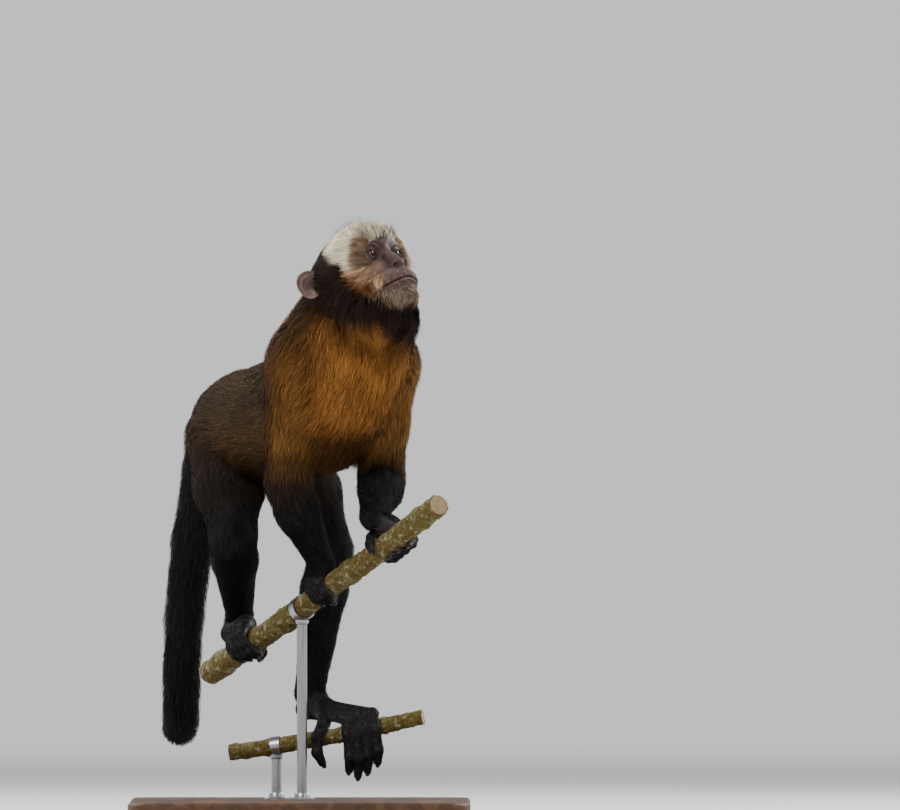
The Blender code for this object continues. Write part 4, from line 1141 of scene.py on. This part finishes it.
def roots_on(mesh, coat, points, normals, count):
    """Places over the skin, spread by the coat's density, with what the skin says there."""
    mesh.calc_loop_triangles()
    corners = read_all(mesh.loop_triangles, "vertices", 3, np.int32)
    loops = read_all(mesh.loop_triangles, "loops", 3, np.int32)
    body_only = (corners < len(points)).all(1)
    corners, loops = corners[body_only], loops[body_only]
    a, b, c = (points[corners[:, i]] for i in range(3))
    area = 0.5 * np.linalg.norm(np.cross(b - a, c - a), axis=1)
    weight = np.cumsum(area * coat.density[corners].mean(1))
    spot = (np.arange(count) + RANDOM.random(count)) / count * weight[-1]
    triangle = np.clip(np.searchsorted(weight, spot), 0, len(weight) - 1)
    r1, r2 = np.sqrt(RANDOM.random(count)), RANDOM.random(count)
    share = np.stack((1 - r1, r1 * (1 - r2), r1 * r2), 1)
    corners, loops = corners[triangle], loops[triangle]

    def read(values, index=corners):
        return np.einsum("ij,ij...->i...", share, values[index])

    found = {key: read(getattr(coat, key)) for key in ("lie", "colour", "depth", "length", "width")}
    return {"at": read(points), "normal": unit(read(normals)), "group": coat.group[corners[:, 0]],
            "uv": read(bake_map(mesh), loops), **found}


def grown(roots):
    """Each tuft's spine and the way it lies: it waves, gathers into locks and follows the skin."""
    at, n = roots["at"], roots["normal"]
    count = len(at)
    waves = np.stack([noise(at, 2.6, seed) for seed in (41, 42, 43)], 1) * 0.30
    waves += np.stack([noise(at, 0.8, seed) for seed in (44, 45, 46)], 1) * 0.22
    lie = unit(flattened(roots["lie"] + waves + RANDOM.normal(0, 0.13, (count, 3)), n))
    length = roots["length"] * RANDOM.uniform(0.72, 1.18, count)
    stand = roots["depth"] * RANDOM.uniform(0.62, 1.04, count)
    lock = 0.30 + 0.16 * roots["length"]
    pull = slope(lambda p: noise(p / lock[:, None], 1.0, 51), at, 0.06)[1] * (lock * 0.17)[:, None]
    pull = flattened(pull, n)
    pull *= np.minimum(1, 0.30 * length / np.maximum(np.linalg.norm(pull, axis=1), 1e-6))[:, None]
    spine = []
    for t, rise in zip(STEPS, RISE):
        spot = at + lie * (length * t)[:, None] + pull * t ** 1.6 + n * (stand * rise)[:, None]
        if t > 0:
            off = stand * rise * (1 - 0.25 * (t == 1.0)) - in_parts(flesh, spot)
            spot = spot + n * np.clip(off, -0.9, 0.9)[:, None]
        spine.append(spot)
    return np.stack(spine, 1), lie


def tufts(name, roots, spine, lie, colour, material, slot):
    """One coat piece: a mesh of tapering blades, each with its patch in the OFBake map."""
    count, n = len(lie), roots["normal"]
    roll = RANDOM.uniform(-0.85, 0.85, count)
    side = np.cross(lie, n)
    side = side * np.cos(roll)[:, None] + n * np.sin(roll)[:, None]
    width = roots["width"] * RANDOM.uniform(0.7, 1.25, count)
    points = spine[:, STEP_OF_POINT]
    for i in range(3):
        reach = side * (0.5 * width * TAPER[i])[:, None]
        points[:, 2 * i] -= reach
        points[:, 2 * i + 1] += reach
    faces = (np.arange(count)[:, None, None] * len(STEP_OF_POINT) + TUFT_FACES[None]).reshape(-1, 3)
    mesh = quick_mesh(name, points.reshape(-1, 3), faces)
    put_colours(mesh, np.clip(colour[:, STEP_OF_POINT], 0.002, 1).reshape(-1, 3))
    soft = unit(0.80 * n + 0.55 * unit(np.cross(side, lie)))
    normal = unit(soft[:, None] + LEANING[STEP_OF_POINT][None, :, None] * lie[:, None])
    custom = mesh.attributes.new("custom_normal", "FLOAT_VECTOR", "POINT")
    custom.data.foreach_set("vector", normal.astype(np.float32).ravel())
    patch = [(s, 2 * HALF_PATCH * STEPS[i] - HALF_PATCH) for i in range(3) for s in (-HALF_PATCH, HALF_PATCH)]
    uv = roots["uv"][:, None] + np.array([*patch, (0, HALF_PATCH)])[None]
    layer = mesh.uv_layers.new(name="OFBake")
    layer.uv.foreach_set("vector", uv.reshape(-1, 2)[faces.ravel()].astype(np.float32).ravel())
    piece(name, mesh, slot, material)


def tuft_colours(roots):
    """Painted shade makes each tuft dark at the root and pale at the tip, with painted glints at some tips, and some
    paler and some darker hairs.
    """
    at, count = roots["at"], len(roots["at"])
    colour = roots["colour"] * np.exp(RANDOM.normal(0, 0.16, count))[:, None]
    colour *= (1 + 0.22 * noise(at, 0.55, 61) + 0.14 * noise(at, 1.7, 62))[:, None]
    colour *= (1 + 0.30 * (roots["group"] == HEAD_GROUP) * noise(at, 0.22, 63))[:, None]
    odd, pale = RANDOM.random(count), rising(roots["colour"][:, 1], 0.25, 0.55)
    light, dark = odd < 0.10, odd > 0.93
    colour[light] = colour[light] * 1.7 + 0.004
    colour[dark] *= (0.45 + 0.35 * pale[dark])[:, None]
    shade = mix(ROOT_SHADE_DARK_COAT, ROOT_SHADE_PALE_COAT, pale)
    glint = GLINT * RANDOM.random((count, 1)) ** 2
    return colour[:, None, :] * shade[:, :, None] + glint[:, :, None] * GLINT_TINT


def stray(name, count, length, width, colour, slot, outward, lean, points, normals, uv, material):
    """Single long hairs that stand clear of the coat."""
    picked = RANDOM.choice(len(points), count)
    at, n = points[picked], normals[picked]
    reach = length * RANDOM.uniform(0.6, 1.15, count)
    lie = unit(outward * n + lean + RANDOM.normal(0, 0.16, (count, 3)))
    bend = RANDOM.normal(0, 0.10, (count, 3))
    spine = np.stack([at + (lie * t + bend * t ** 2) * reach[:, None] for t in STEPS], 1)
    roots = {"normal": n, "width": np.full(count, width), "uv": uv[picked]}
    tone = np.array(colour)[None] * RANDOM.uniform(0.6, 1.3, (count, 1))
    tufts(name, roots, spine, lie, np.repeat(tone[:, None], 4, 1), material, slot)


def vertex_uv(mesh):
    """The place in the OFBake map of each vertex's first corner."""
    corner = read_all(mesh.loops, "vertex_index", 1, np.int32)[:, 0]
    found = np.zeros((len(mesh.vertices), 2))
    found[corner[::-1]] = bake_map(mesh)[::-1]
    return found


def dress(mesh, points, normals, material):
    coat = Coat(points, normals)
    roots = roots_on(mesh, coat, points, normals, TUFTS)
    spine, lie = grown(roots)
    roots["colour"] = reading(0.5 * (spine[:, 1] + spine[:, 2]), roots["normal"])[1]
    colour = tuft_colours(roots)
    for number, name in enumerate(GROUPS):
        chosen = np.flatnonzero(roots["group"] == number)
        pieces = math.ceil(len(chosen) / MOST_TUFTS)
        for part in range(pieces):
            these = chosen[part::pieces]
            own = {key: value[these] for key, value in roots.items()}
            label = f"coat_{name}" + (f"_{part + 1}" if pieces > 1 else "")
            tufts(label, own, spine[these], lie[these], colour[these], material, SLOT_OF.get(name, "coat_dark"))
    uv, all_points, all_normals = vertex_uv(mesh), points_of(mesh), normals_of(mesh)
    q = head_frame(points)
    for *hairs, both, low, high in STRAYS:
        if low:
            chosen = np.flatnonzero(within(mirrored(q) if both else q, low, high))
            stray(*hairs, points[chosen], normals[chosen], uv[chosen], material)
        else:
            ears = slice(len(points), None)
            stray(*hairs, all_points[ears], all_normals[ears], uv[ears], material)


# ---- eyes and nails ----

EYE_AROUND = 64
EYE_RINGS = np.radians(np.r_[np.linspace(0, 60, 34), np.linspace(66, 180, 16)])[1:-1]
CORNEA_EDGE = math.radians(36)
IRIS_DARK, IRIS_PALE, IRIS_RIM = (0.040, 0.016, 0.007), (0.115, 0.050, 0.019), (0.010, 0.005, 0.003)
PUPIL, EYE_WHITE = (0.002, 0.002, 0.002), (0.070, 0.043, 0.034)
NAIL_RINGS, NAIL_AROUND = 12, 20


def eye(side, sign, material):
    """An eyeball with a clear bulge over a brown iris."""
    angle, spin = np.meshgrid(EYE_RINGS, circle(EYE_AROUND), indexing="ij")
    bulge = EYE_RADIUS + CORNEA * np.clip(1 - (angle / CORNEA_EDGE) ** 2, 0, 1)
    local = np.stack((bulge * np.cos(angle), bulge * np.sin(angle) * np.sin(spin),
                      bulge * np.sin(angle) * np.cos(spin)), -1).reshape(-1, 3)
    local = np.concatenate(([(EYE_RADIUS + CORNEA, 0, 0)], local, [(-EYE_RADIUS, 0, 0)]))
    centre = EYE_MIDPOINT - HEAD_F * EYE_BACK + HEAD_L * EYE_SPREAD * sign
    faces = [face[:1] + face[:0:-1] for face in shell(len(EYE_RINGS), EYE_AROUND)]
    mesh = mesh_of(f"eyeball_{side}", local @ HEAD_AXES + centre, faces)
    degrees = np.degrees(np.r_[0, angle.ravel(), math.pi])
    spun = np.r_[0, spin.ravel(), 0]
    streak = 0.5 + 0.5 * np.sin(spun * 23 + 3 * np.sin(spun * 5)) * np.sin(spun * 11 + 1)
    iris = layered(IRIS_DARK, (IRIS_PALE, streak), (IRIS_RIM, rising(degrees, 26, 34)))
    put_colours(mesh, layered(PUPIL, (iris, rising(degrees, 11.5, 14)), (EYE_WHITE, rising(degrees, 36, 41))))
    piece(f"eyeball_{side}", mesh, "eye", material, f"eye_{side}")


def nail_places():
    """Each digit's tip, the way it points, the way its back faces and how thick it is."""
    spots = np.array([along_branch(PERCH_UPPER, share)[0] for share in np.linspace(0, 1, 400)])
    for name, made in ENDS.items():
        for one in made:
            if len(one) < 4 or one[-1][3] > 0.4:
                continue
            tip = np.array(one[-1][:3])
            way = unit(tip - one[-2][:3])
            if name == "foot_left":
                back = np.array((0.0, -1.0, 0.25))
            else:
                back = tip - spots[np.argmin(((spots - tip) ** 2).sum(1))]
            yield tip, way, unit(back - way * (back @ way)), one[-1][3]


def nails():
    """A narrow curved nail, thick in the middle, let into the end of each digit."""
    points, faces = [], []
    for tip, way, back, radius in nail_places():
        faces += tube(NAIL_RINGS + 1, NAIL_AROUND, len(points))
        side = np.cross(way, back)
        centre = tip + way * radius * 0.62 + back * radius * 0.55
        for i in range(NAIL_RINGS + 1):
            angle = math.pi * i / NAIL_RINGS
            round_off = math.sin(angle) ** 0.8
            for spin in circle(NAIL_AROUND):
                x, y = -math.cos(angle) * radius * 1.05, round_off * math.cos(spin) * radius * 0.66
                z = round_off * math.sin(spin) * radius * 0.30
                z -= 0.42 * (y ** 2) / radius + 0.30 * max(x, 0) ** 2 / radius
                points.append(centre + way * x + side * y + back * z)
    mesh = mesh_of("nails", points, faces)
    with edited(mesh) as made:
        bmesh.ops.remove_doubles(made, verts=made.verts, dist=1e-6)
        bmesh.ops.recalc_face_normals(made, faces=made.faces)
    mesh.shade_smooth()
    piece("nails", mesh, "nail", nail_material())


# ---- the perch ----

BARK, BARK_DARK, MOSS = (0.112, 0.078, 0.019), (0.050, 0.034, 0.011), (0.105, 0.090, 0.022)
LICHEN, LICHEN_PALE = (0.235, 0.212, 0.098), (0.43, 0.415, 0.315)
FRESH_WOOD, LATE_WOOD = (0.50, 0.36, 0.19), (0.33, 0.21, 0.10)
SAWN_RINGS = 14


def branch(name, points, rows, around, knots, material):
    """A cut length of branch: ridged, knotted bark with lichen, and sawn ends."""
    shares, spin = np.linspace(0, 1, rows), circle(around)
    frames = zip(*(branch_frame(points, share) for share in shares))
    middle, _, upward, across, radius = (np.array(column) for column in frames)
    for knot in knots:
        radius = radius * (1 + 0.11 * hump(shares, knot, 0.016))
    middle = middle + across * (0.10 * np.sin(shares * 15))[:, None] * np.sin(math.pi * shares)[:, None]
    way_out = np.cos(spin)[None, :, None] * across[:, None] + np.sin(spin)[None, :, None] * upward[:, None]
    flat = (middle[:, None] + way_out * radius[:, None, None]).reshape(-1, 3)
    along, turned = np.repeat(shares, around), np.tile(spin, rows)
    ridges = noise(np.stack((along * 40 * 0.35, np.cos(turned) * 1.2, np.sin(turned) * 1.2), 1), 0.28, 71)
    lumps, grain = noise(flat, 0.8, 72), noise(flat, 0.09, 74)
    warts = np.clip(noise(flat, 0.20, 73) - 0.15, 0, 1)
    on_top = rising(np.sin(turned), -0.1, 0.9)
    lichen = rising(noise(flat, 0.9, 75) + 0.8 * noise(flat, 0.22, 76) + 0.9 * on_top, 0.45, 1.15)
    scales = rising(noise(flat, 0.35, 77) + 0.7 * noise(flat, 0.12, 78), 0.35, 0.95)
    pits = rising(-noise(flat, 0.16, 83), 0.30, 0.70)
    height = (0.025 * ridges + 0.04 * lumps + 0.12 * warts + 0.016 * grain + 0.015 * lichen + 0.02 * scales
              - 0.035 * pits)
    for knot in knots:
        height = height + 0.06 * hump(along, knot, 0.008) * (0.6 + noise(flat, 0.3, 79))
    bark = flat + way_out.reshape(-1, 3) * (height - 0.03)[:, None]
    colour = layered(
        BARK, (BARK_DARK, 0.6 * rising(-ridges - 0.5 * lumps, 0.1, 0.9)),
        (MOSS, 0.55 * rising(noise(flat, 0.7, 80), -0.1, 0.7)), (LICHEN, 0.55 * lichen),
        (LICHEN_PALE, 0.45 * scales), (BARK_DARK, 0.7 * pits))
    colour = colour * (1 + 0.30 * grain + 0.12 * noise(flat, 0.05, 81))[:, None]
    made, tones, faces, middles = [bark], [colour], [tube(rows, around)], []
    total, ring = len(bark), np.arange(around)
    after = np.roll(ring, -1)
    for end, sign in ((0, -1), (rows - 1, 1)):
        centre, outward = middle[end], unit(middle[1] - middle[0]) * sign
        previous = ring + end * around
        edge = bark[previous]
        for step in range(1, SAWN_RINGS + 1):
            spots = centre + (edge - centre) * (1 - step / SAWN_RINGS * 0.999)
            lift = 0.02 * (1 if step > 1 else 0.2) + 0.008 * (step % 2)
            spots = spots - ((spots - centre) @ outward)[:, None] * outward + outward * lift
            wood = mix(FRESH_WOOD, LATE_WOOD, 0.5 + 0.5 * math.sin(step * 2.6))
            if step == 1:
                spots, wood = edge + (spots - edge) * 0.8, np.array(BARK_DARK)
            made.append(spots)
            tones.append(wood * (0.8 + 0.2 * noise(spots, 0.10, 82))[:, None])
            now = total + ring
            quad = np.stack((previous, previous[after], now[after], now), 1)
            faces.append(quad if end else quad[:, ::-1])
            previous = now
            total += around
        middles.append(previous)
    mesh = quick_mesh(name, np.concatenate(made), np.concatenate(faces))
    with edited(mesh) as whole:
        whole.verts.ensure_lookup_table()
        for last_ring in middles:
            whole.faces.new([whole.verts[i] for i in last_ring])
        bmesh.ops.recalc_face_normals(whole, faces=whole.faces)
    mesh.shade_smooth()
    put_colours(mesh, np.concatenate(tones))
    piece(name, mesh, "bark", material, f"perch_{name}")


# ---- the stand ----

def stand_base():
    """A flat slab with rounded corners and eased edges."""
    outline = []
    for sx, sy, start in ((1, 1, 0), (-1, 1, 90), (-1, -1, 180), (1, -1, 270)):
        for angle in np.radians(start + 90 * np.arange(13) / 12):
            outline.append((sx * (BASE_X / 2 - BASE_CORNER), sy * (BASE_Y / 2 - BASE_CORNER),
                            math.cos(angle), math.sin(angle)))
    levels = [(0.0, 0.06), (0.06, 0.0)]
    levels += [(BASE_THICK - BASE_EDGE * (1 - math.sin(a)), BASE_EDGE * (1 - math.cos(a)))
               for a in np.radians((0, 18, 36, 54, 72, 90))]
    levels += [(BASE_THICK, BASE_EDGE + 0.35)]
    points = [(x + (BASE_CORNER - inset) * c, y + (BASE_CORNER - inset) * s, z)
              for z, inset in levels for x, y, c, s in outline]
    mesh = mesh_of("stand_board", points, closed_tube(len(levels), len(outline)))
    mesh.set_sharp_from_angle(angle=math.radians(40))
    piece("stand_board", mesh, "stand_wood", stand_wood_material(), "stand_base")


def band(branch_points, share):
    """A thin steel band round the branch, over the rod."""
    place, way, up, out, radius = branch_frame(branch_points, share)
    around, half, inner, outer = 48, 0.42, radius + 0.03, radius + 0.13
    points = [place + way * shift + reach * (math.cos(angle) * up + math.sin(angle) * out)
              for reach, shift in ((inner, -half), (outer, -half), (outer, half), (inner, half))
              for angle in circle(around)]
    faces = []
    for i in range(4):
        for k in range(around):
            a, b, after = around * i, around * ((i + 1) % 4), (k + 1) % around
            faces.append((a + k, b + k, b + after, a + after))
    return points, faces


def rod(which, share, branch_points, steel):
    """A turned rod with a flange at its foot, and the band at its top."""
    (x, y, z), _, radius = along_branch(branch_points, share)
    low, high, r = BASE_THICK, z - radius - 0.02, ROD_RADIUS
    profile = ((1.15, low), (1.15, low + 0.14), (1.08, low + 0.21), (0.72, low + 0.26), (0.66, low + 0.55),
               (0.62, low + 0.62), (r, low + 0.66), (r, high - 0.4), (r + 0.12, high - 0.32), (r + 0.16, high))
    around = 40
    points = [(x + reach * math.cos(a), y + reach * math.sin(a), level)
              for reach, level in profile for a in circle(around)]
    more, more_faces = band(branch_points, share)
    faces = closed_tube(len(profile), around) + [tuple(len(points) + i for i in face) for face in more_faces]
    name = f"stand_post_{which}"
    mesh = mesh_of(name, points + more, faces)
    with edited(mesh) as made:
        bmesh.ops.recalc_face_normals(made, faces=made.faces)
    mesh.shade_smooth()
    mesh.set_sharp_from_angle(angle=math.radians(35))
    piece(name, mesh, "stand_steel", steel, f"stand_rod_{which}")


# ---- the studio ----

FLOOR_REACH = 6.0
AIM = Vector((0.0, 0.0, 0.33))
# Each lamp: name, place, size, power and colour.
LAMPS = (
    ("key", (-1.5, -2.2, 2.3), 1.0, 62, (1.0, 0.97, 0.92)),
    ("fill", (2.7, -1.9, 2.1), 0.6, 20, (0.93, 0.97, 1.0)),
    ("rim_left", (-1.7, 1.3, 1.5), 0.9, 50, (0.96, 0.98, 1.0)),
    ("rim_right", (1.7, 1.1, 1.3), 0.8, 55, (1.0, 0.99, 0.96)),
    ("top", (0.0, 0.2, 2.6), 1.3, 34, (1.0, 1.0, 1.0)),
)
CAMERA_PLACE, CAMERA_LENS = (0.132, -24.0, 0.3696), 1090.9


def placed(name, data, place):
    made = bpy.data.objects.new(name, data)
    bpy.context.scene.collection.objects.link(made)
    made.location = place
    return made


def studio():
    """A pale floor that fades into a pale surround, soft lamps, and the camera."""
    mesh = bpy.data.meshes.new("floor")
    with edited(mesh) as made:
        bmesh.ops.create_circle(made, cap_ends=True, segments=96, radius=FLOOR_REACH)
    floor = placed("floor", mesh, (0, 0, -0.0003))
    paper = Shader("floor_paper", Base_Color=(0.66, 0.66, 0.655, 1), Roughness=0.9, Specular_IOR_Level=0.1)
    distance = paper.node("ShaderNodeVectorMath", Vector=paper.place())
    distance.operation = "LENGTH"
    share = paper.node("ShaderNodeMapRange", Value=distance.outputs["Value"], From_Min=0.25 * FLOOR_REACH,
                       From_Max=FLOOR_REACH, To_Min=1.0, To_Max=0.0)
    share.interpolation_type = "SMOOTHSTEP"
    paper.feed(paper.main.inputs["Alpha"], share.outputs["Result"])
    mesh.materials.append(paper.material)
    for name, place, size, power, tone in LAMPS:
        lamp = bpy.data.lights.new(name, "AREA")
        lamp.energy, lamp.size, lamp.color = power, size, tone
        placed(name, lamp, place).rotation_euler = (AIM - Vector(place)).to_track_quat("-Z", "Y").to_euler()
    world = bpy.data.worlds.new("studio")
    sky = Nodes(world)
    split = sky.node("ShaderNodeSeparateXYZ", Vector=sky.node("ShaderNodeTexCoord").outputs["Generated"])
    height = sky.node("ShaderNodeMapRange", Value=split.outputs["Z"], From_Min=-1.0)
    tone = sky.ramp(height.outputs["Result"], (0.56, (0.80, 0.805, 0.81)), (0.68, (0.40, 0.42, 0.45)))
    sky.feed(sky.nodes["Background"].inputs["Color"], tone)
    bpy.context.scene.world = world
    camera = bpy.data.cameras.new("camera")
    camera.sensor_width, camera.lens, camera.clip_end = 36, CAMERA_LENS, 90
    bpy.context.scene.camera = placed("camera", camera, CAMERA_PLACE)
    bpy.context.scene.camera.rotation_euler = (math.radians(90), 0, 0)


# ---- the whole ----

skin = skin_mesh()
skin_points, skin_normals = points_of(skin), normals_of(skin)
skin_tones = with_ears(skin, skin_colour(skin_points, skin_normals))
put_colours(skin, skin_tones)
flesh_nodes = [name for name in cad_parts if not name.startswith(("eye_", "perch_", "stand_"))]
unwrap(piece("skin", skin, "bare_skin", skin_material(), *flesh_nodes))
dress(skin, skin_points, skin_normals, coat_material())
eye_look = eye_material()
eye("left", 1, eye_look)
eye("right", -1, eye_look)
nails()
bark_look, steel_look = bark_material(), steel_material()
branch("branch_upper", PERCH_UPPER, 420, 96, (0.06, 0.33, 0.62, 0.93), bark_look)
branch("branch_lower", PERCH_LOWER, 200, 72, (0.2, 0.8), bark_look)
stand_base()
rod("upper", 0.405, PERCH_UPPER, steel_look)
rod("lower", 0.24, PERCH_LOWER, steel_look)
studio()
